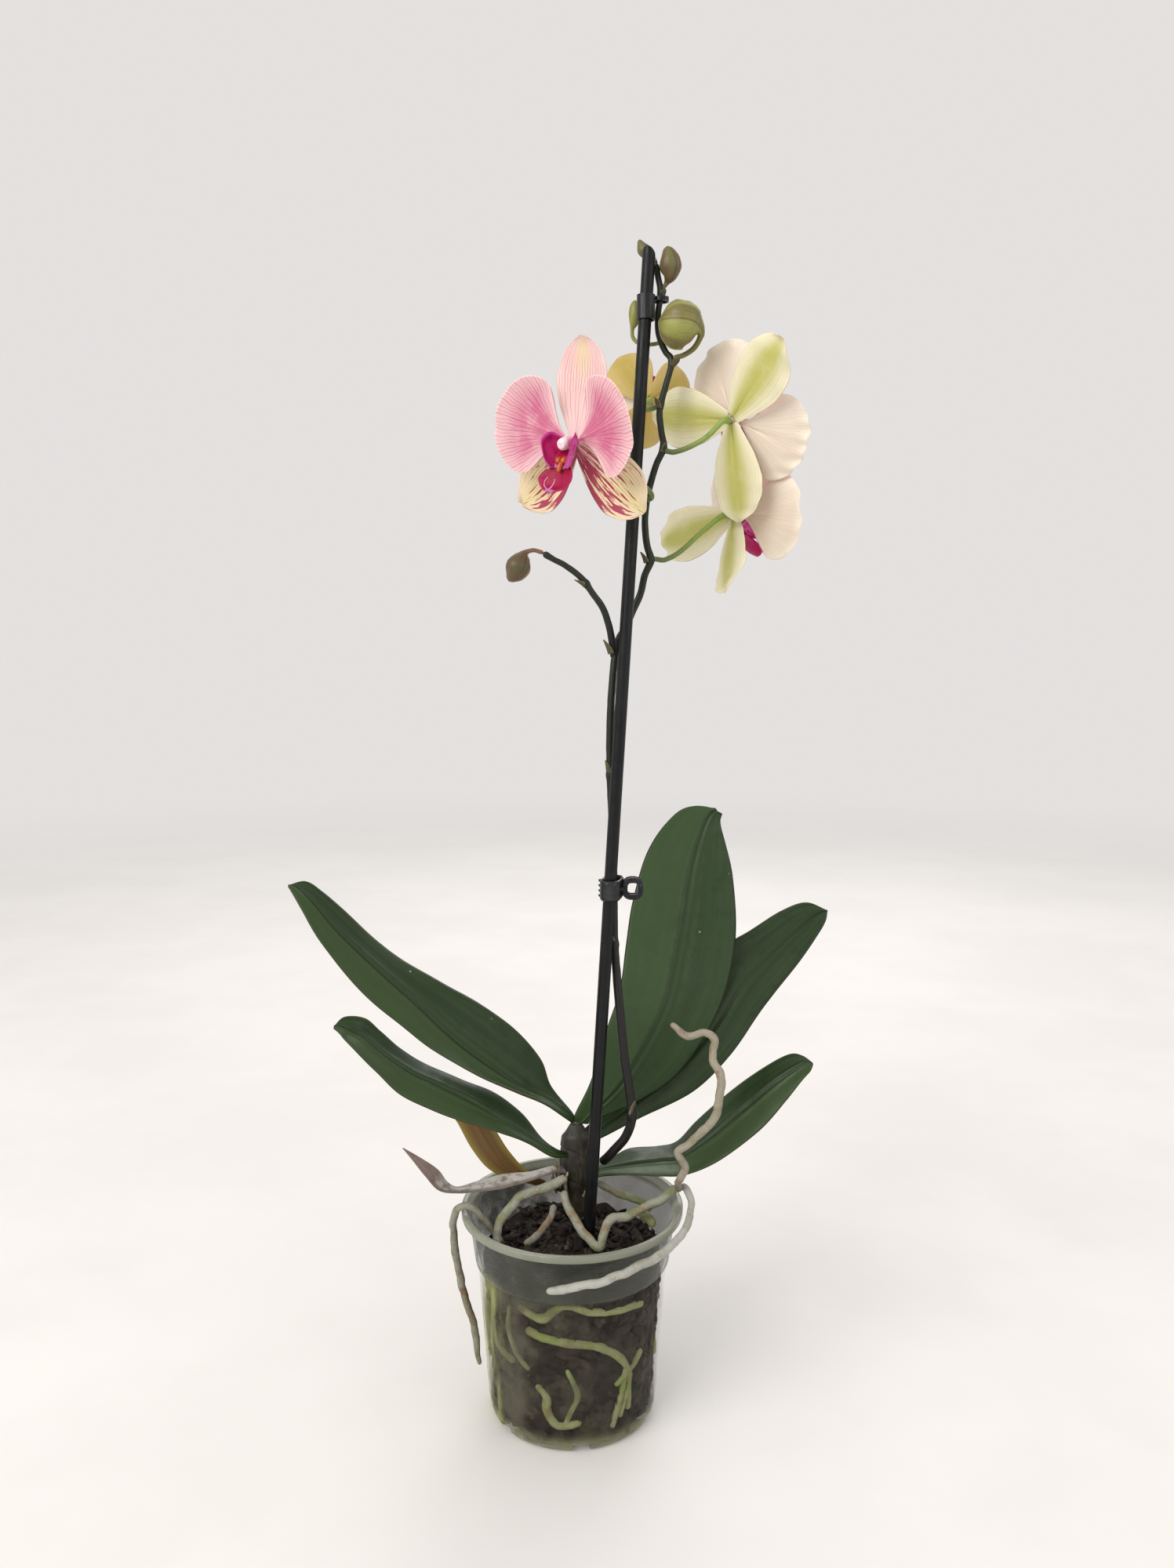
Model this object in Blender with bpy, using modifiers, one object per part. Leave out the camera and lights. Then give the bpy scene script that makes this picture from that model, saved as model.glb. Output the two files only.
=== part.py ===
"""Moth orchid in a clear grower's pot, with its stake, two clips, flower spike, leaves, flowers,
buds and roots.

Lengths are in mm and are scaled to metres when a body is made. The origin is the middle of the
pot's underside, +Z is up, and the flowers open mostly towards -Y.
"""

import math

import bmesh
import bpy
import numpy as np
from mathutils import Vector

MM = 0.001

# Pot
RIM_R = 60.0
POT_H = 115.0
LIP_H = 4.0
COLLAR_TOP_R = 56.0
COLLAR_LOW_R = 52.6
COLLAR_LOW_Z = 85.0
WALL_TOP_R = 51.2
BASE_R = 45.4
BASE_CORNER = 4.0
WALL = 1.0
FLOOR = 1.6
SLOTS = 6
SLOT_W = 9.0
SLOT_H = 5.0

# Potting bark
BARK_LOW_Z = 2.2
BARK_TOP_Z = 93.0
ROOT_ROOM = 5.6
GAP = 0.35

# Stake
STAKE_R = 3.2
STAKE_LOW = (6.65, -3.2, 60.0)
STAKE_TOP = (39.0, 0.0, 611.0)
STAKE_CUT = 2.2

# Leaves
LEAF_T = 2.0
DRY_T = 0.9

# Flowers
SEPAL_T = 1.0
PETAL_STEP = 2.4
HEART_R = 3.6


def clear_scene():
    for obj in list(bpy.data.objects):
        bpy.data.objects.remove(obj, do_unlink=True)
    for block in (bpy.data.meshes, bpy.data.curves, bpy.data.materials):
        for item in list(block):
            block.remove(item)


clear_scene()
PARTS = bpy.data.collections.new("potted_orchid")
CUTTERS = bpy.data.collections.new("cutters")
bpy.context.scene.collection.children.link(PARTS)
bpy.context.scene.collection.children.link(CUTTERS)


def paint(name, rgb, rough, metal=0.0, alpha=1.0):
    found = bpy.data.materials.get(name)
    if found:
        return found
    made = bpy.data.materials.new(name)
    made.use_nodes = True
    made.diffuse_color = (*rgb, alpha)
    shader = made.node_tree.nodes["Principled BSDF"]
    shader.inputs["Base Color"].default_value = (*rgb, 1.0)
    shader.inputs["Roughness"].default_value = rough
    shader.inputs["Metallic"].default_value = metal
    shader.inputs["Alpha"].default_value = alpha
    return made


PAINTS = {
    "clear_plastic": ((0.42, 0.46, 0.40), 0.30, 0.0, 0.45),
    "bark": ((0.06, 0.035, 0.02), 0.90),
    "black_stake": ((0.012, 0.012, 0.014), 0.35),
    "clip_plastic": ((0.02, 0.02, 0.025), 0.25),
    "leaf_green": ((0.03, 0.12, 0.03), 0.38),
    "old_leaf": ((0.35, 0.20, 0.03), 0.60),
    "dry_leaf": ((0.42, 0.38, 0.34), 0.85),
    "crown_green": ((0.03, 0.05, 0.02), 0.55),
    "stem_green": ((0.05, 0.08, 0.03), 0.45),
    "petal_pink": ((0.85, 0.45, 0.52), 0.55),
    "sepal_green": ((0.80, 0.80, 0.48), 0.55),
    "lip_magenta": ((0.50, 0.01, 0.16), 0.45),
    "bud_green": ((0.42, 0.44, 0.12), 0.50),
    "root_grey": ((0.55, 0.58, 0.48), 0.70),
    "root_green": ((0.36, 0.44, 0.14), 0.60),
}


def dress(obj, slot):
    obj.data.materials.clear()
    obj.data.materials.append(paint(slot, *PAINTS[slot]))
    return obj


def place(obj, slot=None, helper=False):
    (CUTTERS if helper else PARTS).objects.link(obj)
    if helper:
        obj.hide_render = True
        obj.display_type = "WIRE"
    else:
        dress(obj, slot)
    return obj


def body(name, verts, faces, slot=None, helper=False):
    """A mesh object from points in mm, with its faces turned outwards."""
    mesh = bpy.data.meshes.new(name)
    mesh.from_pydata([tuple(float(x) * MM for x in v) for v in verts], [], faces)
    made = bmesh.new()
    made.from_mesh(mesh)
    bmesh.ops.recalc_face_normals(made, faces=made.faces)
    made.to_mesh(mesh)
    made.free()
    return place(bpy.data.objects.new(name, mesh), slot, helper)


def spline(points, count):
    """Even samples along a Catmull-Rom curve. Any columns after x, y, z ride along."""
    p = np.array(points, float)
    q = np.vstack([2 * p[0] - p[1], p, 2 * p[-1] - p[-2]])
    fine = []
    for i in range(1, len(q) - 2):
        a, b, c, d = q[i - 1 : i + 3]
        u = np.linspace(0, 1, 16, endpoint=False)[:, None]
        fine.append(0.5 * (2 * b + (c - a) * u + (2 * a - 5 * b + 4 * c - d) * u**2
                           + (3 * b - a - 3 * c + d) * u**3))
    fine = np.vstack(fine + [q[-2][None]])
    length = np.r_[0, np.cumsum(np.linalg.norm(np.diff(fine[:, :3], axis=0), axis=1))]
    at = np.linspace(0, length[-1], count)
    return np.stack([np.interp(at, length, fine[:, k]) for k in range(fine.shape[1])], 1)


def by_station(points, stations):
    """The same curve sampled by control-point number, so that three of them stay in step."""
    p = np.array(points, float)
    q = np.vstack([2 * p[0] - p[1], p, 2 * p[-1] - p[-2]])
    i = np.minimum(stations.astype(int), len(p) - 2)
    u = (stations - i)[:, None]
    a, b, c, d = q[i], q[i + 1], q[i + 2], q[i + 3]
    return 0.5 * (2 * b + (c - a) * u + (2 * a - 5 * b + 4 * c - d) * u**2
                  + (3 * b - a - 3 * c + d) * u**3)


def tube(name, points, slot, resolution=1):
    """A round stem: points are x, y, z, radius. The curve keeps 4 + 2 * resolution sides."""
    curve = bpy.data.curves.new(name, "CURVE")
    curve.dimensions = "3D"
    curve.bevel_depth = MM
    curve.bevel_resolution = resolution
    curve.use_fill_caps = True
    line = curve.splines.new("POLY")
    line.points.add(len(points) - 1)
    for point, (x, y, z, r) in zip(line.points, points):
        point.co = (x * MM, y * MM, z * MM, 1)
        point.radius = r
    return place(bpy.data.objects.new(name, curve), slot)


def sheet(name, grid, thickness, slot):
    """A blade: a Blender grid moved onto grid[u][v] and given its thickness."""
    rows, columns = grid.shape[:2]
    made = bmesh.new()
    bmesh.ops.create_grid(made, x_segments=rows - 1, y_segments=columns - 1, size=1)
    for vert in made.verts:
        i = round((vert.co.x + 1) / 2 * (rows - 1))
        j = round((vert.co.y + 1) / 2 * (columns - 1))
        vert.co = Vector([float(c) * MM for c in grid[i, j]])
    mesh = bpy.data.meshes.new(name)
    made.to_mesh(mesh)
    made.free()
    obj = place(bpy.data.objects.new(name, mesh), slot)
    solid = obj.modifiers.new("Thickness", "SOLIDIFY")
    solid.thickness = thickness * MM
    solid.offset = 0
    solid.use_even_offset = False
    return obj


def combine(obj, other, operation):
    cut = obj.modifiers.new(operation.title(), "BOOLEAN")
    cut.operation = operation
    cut.solver = "EXACT"
    cut.object = other
    return cut


def wall_r(z):
    """Outer radius of the pot's lower wall."""
    return BASE_R + (WALL_TOP_R - BASE_R) * z / COLLAR_LOW_Z


def inner_r(z):
    """Inner radius of the pot at a height."""
    if z <= COLLAR_LOW_Z:
        return wall_r(z) - WALL
    share = (z - COLLAR_LOW_Z) / (POT_H - COLLAR_LOW_Z)
    return WALL_TOP_R - WALL + (COLLAR_TOP_R - WALL - WALL_TOP_R + WALL) * share


def bark_top(x, y):
    lumps = 1.6 * np.sin(x / 5.1 + 1) * np.cos(y / 4.3) + 1.2 * np.sin(x / 3.0 - y / 3.7)
    return BARK_TOP_Z + lumps + 0.0006 * (x * x + y * y)


# ---------------------------------------------------------------- pot
def make_pot():
    profile = [(0, FLOOR), (BASE_R - 6.0, FLOOR), (BASE_R - 3.0, FLOOR + 1.2),
               (inner_r(8.0), 8.0), (inner_r(40.0), 40.0), (inner_r(COLLAR_LOW_Z), COLLAR_LOW_Z),
               (inner_r(POT_H - 3), POT_H - 3), (RIM_R - 3.4, POT_H - 0.8), (RIM_R - 2.6, POT_H),
               (RIM_R - 0.6, POT_H), (RIM_R, POT_H - 0.8), (RIM_R - 0.2, POT_H - LIP_H),
               (COLLAR_TOP_R, POT_H - LIP_H), (COLLAR_LOW_R, COLLAR_LOW_Z + 1.0),
               (WALL_TOP_R + 0.2, COLLAR_LOW_Z), (wall_r(40.0), 40.0), (wall_r(11.0), 11.0),
               (wall_r(10.0) - 0.5, 10.0), (BASE_R - 0.6, BASE_CORNER),
               (BASE_R - 2.0, 1.0), (BASE_R - BASE_CORNER, 0.0), (0, 0)]
    mesh = bpy.data.meshes.new("pot")
    mesh.from_pydata([(r * MM, 0, z * MM) for r, z in profile],
                     [(i, i + 1) for i in range(len(profile) - 1)], [])
    pot = place(bpy.data.objects.new("pot", mesh), "clear_plastic")
    turn = pot.modifiers.new("Turn", "SCREW")
    turn.steps = 40
    turn.render_steps = 40
    turn.use_merge_vertices = True
    turn.merge_threshold = 0.00001
    verts, faces = [], []
    for k in range(SLOTS):
        a = 2 * math.pi * (k + 0.62) / SLOTS
        out = Vector((math.cos(a), math.sin(a), 0))
        side = Vector((-math.sin(a), math.cos(a), 0))
        first = len(verts)
        for z in (-2.0, SLOT_H):
            for r, w in ((BASE_R - 8, -1), (BASE_R + 6, -1), (BASE_R + 6, 1), (BASE_R - 8, 1)):
                verts.append(out * r + side * (w * SLOT_W / 2) + Vector((0, 0, z)))
        for quad in ((0, 1, 2, 3), (4, 7, 6, 5), (0, 4, 5, 1), (1, 5, 6, 2), (2, 6, 7, 3),
                     (3, 7, 4, 0)):
            faces.append([first + i for i in quad])
    combine(pot, body("slot_cutter", verts, faces, helper=True), "DIFFERENCE")


def make_bark():
    """Bark fill: a lumpy plug that leaves room for the roots that run down the wall."""
    around = 28
    levels = [BARK_LOW_Z, 4, 14, 26, 38, 50, 62, 74, 84, 90]
    verts, faces = [], []
    turn = np.arange(around) * 2 * np.pi / around
    for z in levels:
        reach = min(inner_r(z), inner_r(84)) - ROOT_ROOM
        reach = reach - (5.0 if z < 3 else 0.0)
        lump = 0.9 + 0.9 * np.sin(5 * turn + z / 7.0) * np.cos(3 * turn - z / 5.0)
        r = reach - lump
        verts += [(a * math.cos(t), a * math.sin(t), z) for a, t in zip(r, turn)]
    for share in (0.80, 0.55, 0.30):
        r = (inner_r(84) - ROOT_ROOM) * share
        verts += [(r * math.cos(t), r * math.sin(t), bark_top(r * math.cos(t), r * math.sin(t)))
                  for t in turn]
    rings = len(levels) + 3
    for i in range(rings - 1):
        for j in range(around):
            k = (j + 1) % around
            faces.append((i * around + j, i * around + k, (i + 1) * around + k,
                          (i + 1) * around + j))
    verts += [(0, 0, BARK_LOW_Z), (0, 0, float(bark_top(0.0, 0.0)))]
    last = (rings - 1) * around
    for j in range(around):
        k = (j + 1) % around
        faces.append((k, j, rings * around))
        faces.append((last + j, last + k, rings * around + 1))
    bark = body("bark_medium", verts, faces, "bark")
    low, top = Vector(STAKE_LOW), Vector(STAKE_TOP)
    axis = (top - low).normalized()
    hole = rod("stake_bore", low - axis * GAP, low + axis * 60, STAKE_R + GAP, 16, helper=True)
    combine(bark, hole, "DIFFERENCE")


def rod(name, low, top, radius, sides, slot=None, helper=False, cut=0.0):
    """A round bar between two points. cut slants its upper end."""
    axis = (Vector(top) - Vector(low)).normalized()
    across = axis.cross(Vector((0, 1, 0))).normalized()
    front = axis.cross(across)
    verts = []
    for end, slant in ((Vector(low), 0.0), (Vector(top), cut)):
        for k in range(sides):
            t = 2 * math.pi * k / sides
            spot = across * math.cos(t) + front * math.sin(t)
            verts.append(end + spot * radius + axis * slant * spot.dot(Vector((0.5, 0.8, 0))))
    faces = [[k, (k + 1) % sides, sides + (k + 1) % sides, sides + k] for k in range(sides)]
    faces += [list(range(sides)), list(range(2 * sides - 1, sides - 1, -1))]
    return body(name, verts, faces, slot, helper)


def slab(name, centre, size, turn=0.0, helper=True):
    """A box, turned about its own Z."""
    c, s = math.cos(turn), math.sin(turn)
    verts = []
    for dz in (-0.5, 0.5):
        for dx, dy in ((-0.5, -0.5), (0.5, -0.5), (0.5, 0.5), (-0.5, 0.5)):
            x, y = dx * size[0], dy * size[1]
            verts.append((centre[0] + c * x - s * y, centre[1] + s * x + c * y,
                          centre[2] + dz * size[2]))
    faces = [(3, 2, 1, 0), (4, 5, 6, 7), (0, 1, 5, 4), (1, 2, 6, 5), (2, 3, 7, 6), (3, 0, 4, 7)]
    return body(name, verts, faces, helper=helper)


def hoop(name, centre, half_span, inner, wall, height, turn, slot=None, helper=False):
    """An oval band with an open middle: two half circles half_span each side of the centre."""
    around = 24
    c, s = math.cos(turn), math.sin(turn)
    verts, faces = [], []
    for z in (-height / 2, height / 2):
        for r in (inner, inner + wall):
            for k in range(around):
                t = 2 * math.pi * (k + 0.5) / around
                x = r * math.cos(t) + (half_span if math.cos(t) > 0 else -half_span)
                y = r * math.sin(t)
                verts.append((centre[0] + c * x - s * y, centre[1] + s * x + c * y,
                              centre[2] + z))
    for k in range(around):
        n = (k + 1) % around
        a, b, d, e = 0, around, 2 * around, 3 * around
        faces += [(a + k, a + n, b + n, b + k), (d + k, e + k, e + n, d + n),
                  (b + k, b + n, e + n, e + k), (a + k, d + k, d + n, a + n)]
    return body(name, verts, faces, slot, helper)


def make_stake_and_clips():
    rod("stake", STAKE_LOW, STAKE_TOP, STAKE_R, 16, "black_stake", cut=STAKE_CUT)
    band = hoop("clip_lower", (21.2, 2.6, 288), 4.9, 4.2, 1.3, 11.0, math.radians(78),
                "clip_plastic")
    for k in range(4):
        combine(band, slab("clip_tooth_%d" % k, (15.6, 1.4, 284.2 + 2.6 * k), (2.4, 4.6, 1.3)),
                "UNION")
    combine(band, slab("clip_jaw_rear", (31.6, 5.6, 288), (13.0, 1.5, 9.0), 0.10), "UNION")
    combine(band, slab("clip_jaw_front", (31.6, 0.9, 288), (13.0, 1.5, 9.0), -0.06), "UNION")
    combine(band, slab("clip_jaw_bar", (37.4, 3.2, 288), (1.6, 6.6, 5.0)), "UNION")
    sleeve = hoop("clip_upper", (37.5, -0.1, 584), 0.0, 3.75, 0.9, 12.0, 0.0, "clip_plastic")
    ring = hoop("clip_hook", (45.2, 4.0, 589), 0.6, 2.6, 1.0, 2.2, 0.0, helper=True)
    combine(sleeve, ring, "UNION")
    combine(sleeve, slab("clip_arm", (41.5, 2.2, 589), (1.6, 2.4, 2.2), 0.52), "UNION")


# ---------------------------------------------------------------- leaves
# Each leaf is drawn by its far edge, its midrib and its near edge, base to tip.
LEAVES = {
    "leaf_upright": (
        [(2, 13, 161), (10, 14, 178), (18, 18, 204), (26, 26, 226), (30, 36, 249), (34, 46, 272),
         (42, 56, 297), (54, 65, 314), (68, 70, 323), (87, 72, 318)],
        [(10, 15, 158), (26, 17, 174), (40, 23, 194), (52, 32, 216), (59, 42, 241),
         (64, 52, 266), (69, 61, 291), (76, 68, 311), (82, 71, 320), (87, 72, 318)],
        [(16, 14, 157), (37, 18, 165), (57, 25, 176), (75, 34, 197), (88, 44, 222),
         (94, 54, 251), (93, 63, 282), (89, 69, 302), (86, 71, 312), (87, 72, 318)]),
    "leaf_rear_right": (
        [(13, 23, 154), (28, 29, 172), (46, 38, 195), (65, 49, 217), (80, 60, 237),
         (103, 68, 249), (123, 74, 260), (138, 75, 265), (151, 75, 260)],
        [(17, 22, 148), (36, 26, 161), (61, 33, 180), (82, 43, 200), (99, 54, 223),
         (118, 63, 239), (135, 70, 252), (144, 73, 258), (151, 75, 260)],
        [(17, 20, 143), (39, 22, 154), (68, 27, 167), (90, 35, 186), (109, 46, 209),
         (130, 56, 232), (142, 65, 245), (149, 71, 254), (151, 75, 260)]),
    "leaf_low_right": (
        [(17, 21, 127), (31, 28, 133), (48, 32, 133), (59, 32, 136), (70, 31, 148),
         (87, 27, 166), (105, 22, 182), (119, 17, 192), (126, 12, 193), (131, 7, 190)],
        [(16, 14, 126), (33, 14, 129), (48, 14, 131), (60, 14, 133), (76, 13, 145),
         (95, 11, 163), (111, 9, 178), (123, 8, 187), (128, 8, 190), (131, 7, 190)],
        [(16, 8, 126), (32, 3, 129), (48, 0, 129), (62, 0, 130), (80, -1, 139), (101, -2, 156),
         (115, -1, 172), (124, 1, 183), (129, 4, 187), (131, 7, 190)]),
    "leaf_upper_left": (
        [(-1, 16, 160), (-12, 20, 173), (-18, 24, 187), (-33, 26, 204), (-52, 26, 218),
         (-74, 26, 231), (-98, 25, 246), (-120, 24, 266), (-137, 23, 282), (-146, 22, 288),
         (-155, 19, 286)],
        [(-3, 12, 160), (-13, 12, 167), (-28, 11, 175), (-45, 10, 187), (-64, 10, 202),
         (-85, 10, 222), (-106, 11, 241), (-127, 13, 261), (-142, 16, 278), (-149, 18, 284),
         (-155, 19, 286)],
        [(-3, 9, 158), (-14, 4, 168), (-30, -1, 178), (-49, -5, 187), (-70, -5, 199),
         (-92, -5, 216), (-113, -2, 234), (-133, 2, 257), (-145, 9, 274), (-151, 14, 282),
         (-155, 19, 286)]),
    "leaf_lower_left": (
        [(-9, 7, 142), (-17, 8, 148), (-28, 9, 162), (-43, 8, 174), (-61, 4, 183), (-78, 1, 192),
         (-92, -4, 203), (-101, -7, 213), (-108, -13, 222), (-118, -17, 224), (-123, -22, 220)],
        [(-10, 4, 141), (-21, 1, 149), (-36, -4, 161), (-52, -8, 173), (-70, -12, 184),
         (-84, -15, 192), (-98, -18, 203), (-107, -20, 212), (-113, -21, 216),
         (-118, -22, 219), (-123, -22, 220)],
        [(-11, 1, 140), (-23, -5, 150), (-37, -15, 160), (-56, -22, 169), (-74, -26, 178),
         (-89, -29, 187), (-100, -31, 199), (-109, -31, 209), (-116, -28, 215),
         (-119, -26, 218), (-123, -22, 220)]),
    "leaf_old": (
        [(-20, 15, 117), (-43, 18, 123), (-56, 21, 135), (-65, 23, 151), (-71, 23, 160),
         (-72, 23, 167), (-68, 22, 170)],
        [(-17, 14, 119), (-34, 16, 126), (-45, 18, 137), (-53, 20, 150), (-61, 21, 160),
         (-67, 22, 166), (-68, 22, 170)],
        [(-15, 13, 121), (-26, 14, 127), (-35, 15, 137), (-43, 17, 149), (-52, 19, 161),
         (-60, 21, 167), (-68, 22, 170)]),
    "leaf_dry": (
        [(-10, 8, 132), (-23, 7, 129), (-38, 4, 129), (-53, 1, 126), (-62, -1, 124),
         (-67, -4, 128), (-72, -6, 136), (-80, -10, 144), (-90, -14, 152)],
        [(-10, 5, 131), (-23, 2, 129), (-38, -2, 128), (-51, -4, 125), (-61, -6, 125),
         (-68, -8, 127), (-75, -10, 135), (-82, -12, 144), (-90, -14, 152)],
        [(-11, 2, 130), (-23, -3, 128), (-38, -8, 126), (-50, -9, 125), (-61, -11, 125),
         (-71, -12, 127), (-78, -14, 136), (-84, -14, 144), (-90, -14, 152)]),
}
LEAF_SLOT = {"leaf_old": "old_leaf", "leaf_dry": "dry_leaf"}


def leaf_grid(far, mid, near, rows, columns):
    at = (len(mid) - 1.06) * np.linspace(0, 1, rows)
    a, m, b = by_station(far, at), by_station(mid, at), by_station(near, at)
    v = np.linspace(-1, 1, columns)[None, :, None]
    half, fold = (b - a)[:, None] / 2, ((a + b) / 2 - m)[:, None]
    return m[:, None] + half * v + fold * np.abs(v) ** 1.4


def make_leaves():
    for name, (far, mid, near) in LEAVES.items():
        small = name in LEAF_SLOT
        grid = leaf_grid(far, mid, near, 11 if small else 15, 5)
        sheet(name, grid, DRY_T if small else LEAF_T, LEAF_SLOT.get(name, "leaf_green"))


def make_crown():
    """The short leafy stem that the leaves and roots grow from."""
    around = 14
    levels = [(99.5, 5.0, 4.0), (104, 7.5, 6.0), (116, 9.0, 7.0), (132, 9.5, 7.0),
              (146, 9.0, 6.5), (152, 6.0, 4.5)]
    verts, faces = [], []
    for z, rx, ry in levels:
        for k in range(around):
            t = 2 * math.pi * k / around
            verts.append((2.0 + rx * math.cos(t), 15.5 + ry * math.sin(t), z))
    for i in range(len(levels) - 1):
        for k in range(around):
            n = (k + 1) % around
            faces.append((i * around + k, i * around + n, (i + 1) * around + n,
                          (i + 1) * around + k))
    faces += [list(range(around)), list(range(len(verts) - around, len(verts)))]
    body("crown_stem", verts, faces, "crown_green")


# ---------------------------------------------------------------- spike, branch and buds
SPIKE = [(16, 5, 135), (22, 1, 143), (29, -2, 153), (32, -4, 164), (31, -4, 178), (28, -3, 197),
         (25.5, -0.5, 222), (24, 2, 240), (22.5, 5, 259), (22.3, 7.3, 280), (22, 8, 301),
         (21.5, 7, 322), (20.5, 5.5, 343), (20, 4.5, 364), (20.5, 4, 385), (21.6, 4, 401),
         (22.6, 4.5, 411), (24.5, 7, 419), (28, 9.5, 425), (32, 10, 434), (36, 10, 443),
         (38, 9, 452), (41, 8.5, 460), (39, 8, 468), (38, 8, 478), (38.5, 7.5, 488),
         (40.5, 6, 498), (43.5, 5, 508), (47, 4.5, 516), (46, 4.5, 524), (45, 5, 532),
         (45.5, 5, 538), (48, 5, 547), (51, 5, 559), (48, 6, 564), (45.5, 6, 569),
         (44, 5.5, 575), (44, 4.5, 583), (45, 4, 590), (45, 4, 594), (43.6, 4.6, 601), (42.6, 5.4, 607)]
BRANCH = [(21, 2.5, 418), (19, -1, 427), (16, -4, 435), (11, -6, 442), (5, -7, 450),
          (-3, -9, 456), (-9, -10, 459), (-14, -11, 462)]


def spike_radius(z):
    return 2.5 - 0.9 * max(0.0, min(1.0, (z - 160) / 400))


def off_spike(points, gap=1.4):
    """Drops the first points of a side stem until it stands clear of the spike."""
    line = spline(SPIKE, 200)
    keep = []
    for p in points:
        near = np.linalg.norm(line - np.array(p[:3]), axis=1)
        k = int(near.argmin())
        if keep or near[k] > spike_radius(line[k, 2]) + gap:
            keep.append(p)
    return keep


BUDS = {
    "bud_large": [(53, 4.5, 561, 1.3), (57, 4, 562, 1.3), (62, 2, 565, 1.4), (65, 0, 570, 1.6),
                  (64.5, -1, 572.5, 3.2), (61.5, -1.5, 574, 8.4), (58, -2, 575, 11.2),
                  (54, -2, 575.3, 12.0), (50, -2, 575.6, 11.0), (46.6, -2, 576, 8.0),
                  (43.6, -2, 576.5, 3.4)],
    "bud_upper": [(46, 4, 594, 1.1), (48, 4, 597, 1.3), (49.5, 3, 600, 3.6),
                  (49.8, 2.5, 604, 5.6), (49.5, 2, 608, 5.2), (48.5, 1.5, 612, 3.0),
                  (48, 1, 614, 1.2)],
    "bud_tip": [(41.4, 6.2, 610.2, 1.1), (38.9, 7.8, 612.0, 2.5), (36.6, 8.0, 614.5, 3.3),
                (35, 7.8, 617.5, 1.8), (34.3, 7.6, 619.3, 0.7)],
    "bud_left": [(42, 6.5, 568, 1.0), (38, 9, 568.5, 1.0), (34, 11.5, 570, 1.0),
                 (31.5, 12.5, 573, 1.0), (31.2, 12.5, 577, 1.1), (32, 12, 580, 2.4),
                 (32.5, 11.5, 584, 3.2), (32.5, 11.5, 588, 2.6), (32.5, 11.5, 591, 0.9)],
    "bud_branch": [(-15.6, -11, 462.6, 1.1), (-19, -11, 463.4, 1.1), (-22.5, -11, 462.4, 1.5),
                   (-24.5, -11.2, 459.5, 4.4), (-26.5, -11.6, 455.5, 6.4),
                   (-28.5, -12, 451.8, 5.4), (-30.4, -12.2, 449.2, 2.8),
                   (-31.4, -12.3, 447.8, 1.0)],
}


def make_spike():
    line = spline([(*p, spike_radius(p[2])) for p in SPIKE], 64)
    tube("flower_spike", line, "stem_green")
    side = spline([(*p, 1.9 - 0.07 * k) for k, p in enumerate(BRANCH)], 20)
    tube("side_branch", off_spike(side, 2.2), "stem_green")
    for name, points in BUDS.items():
        line = spline(points, 16 if name == "bud_large" else 14)
        line[:, 3] = np.maximum(line[:, 3], 0.6)
        keep = line if name == "bud_branch" else off_spike(line, 1.5)
        tube(name, keep, "bud_green", 2 if name == "bud_large" else 1)


# ---------------------------------------------------------------- flowers
# heart, direction the face looks in, turn of the flower, tilt of sepals and petals, sizes
FLOWERS = {
    "front": dict(heart=(3, -30, 513), face=(-0.61, -0.78, -0.14), turn=7.5, sepal=(-12, 45, 15),
                  petal=(9, 40, 54), curl=12, cup=0.010,
                  stalk=[(41, 3, 491), (40, -3, 493), (34, -9, 497), (19, -17, 506)]),
    "upper_right": dict(heart=(81, 1, 529.5), face=(0.68, 0.67, 0.22), turn=-50,
                        sepal=(-6, 47, 15.5), petal=(12, 38, 54), curl=6, cup=0.010,
                        stalk=[(47, 4.5, 516), (53, 3, 514), (61, 1, 516.5), (69, -1, 521)]),
    "lower_right": dict(heart=(85.6, 25, 485), face=(0.87, 0.48, 0.10), turn=-25,
                        sepal=(-32, 45, 14.5), dorsal=8, petal=(12, 39, 54), curl=8, cup=0.010,
                        stalk=[(41, 8.5, 461), (49, 11, 460.5), (57, 14, 465), (68, 18, 475)]),
    "rear": dict(heart=(41, 44, 548), face=(-0.10, 0.95, 0.20), turn=165, sepal=(14, 26, 13.5),
                 petal=(20, 23, 52), curl=30, cup=0.015,
                 stalk=[(45.5, 5, 538), (41, 11, 537), (37, 19, 538), (37.5, 29, 542)]),
}
SEPAL_SHAPE = ([0, 0.12, 0.3, 0.5, 0.68, 0.84, 0.94, 1],
               [0.26, 0.5, 0.8, 0.98, 0.98, 0.75, 0.45, 0.1])


def flower_axes(face, turn):
    """Right, up and out of a flower seen from its front, turned clockwise."""
    out = np.array(face, float)
    out /= np.linalg.norm(out)
    up = np.array([0, 0, 1.0])
    up = up - (up @ out) * out
    up /= np.linalg.norm(up)
    right = np.cross(up, out)
    a = math.radians(turn)
    return np.stack([math.cos(a) * right - math.sin(a) * up,
                     math.cos(a) * up + math.sin(a) * right, out])


def curved(a, b, tilt, curl, length, cup):
    """Bends a flat outline: a runs along the segment and b across it."""
    k = curl / length
    turn = tilt + k * a
    along = (np.sin(turn) - math.sin(tilt)) / k
    lift = (1 - np.cos(cup * b)) / cup
    rise = (math.cos(tilt) - np.cos(turn)) / k
    return along - lift * np.sin(turn), np.sin(cup * b) / cup, rise + lift * np.cos(turn)


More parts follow.
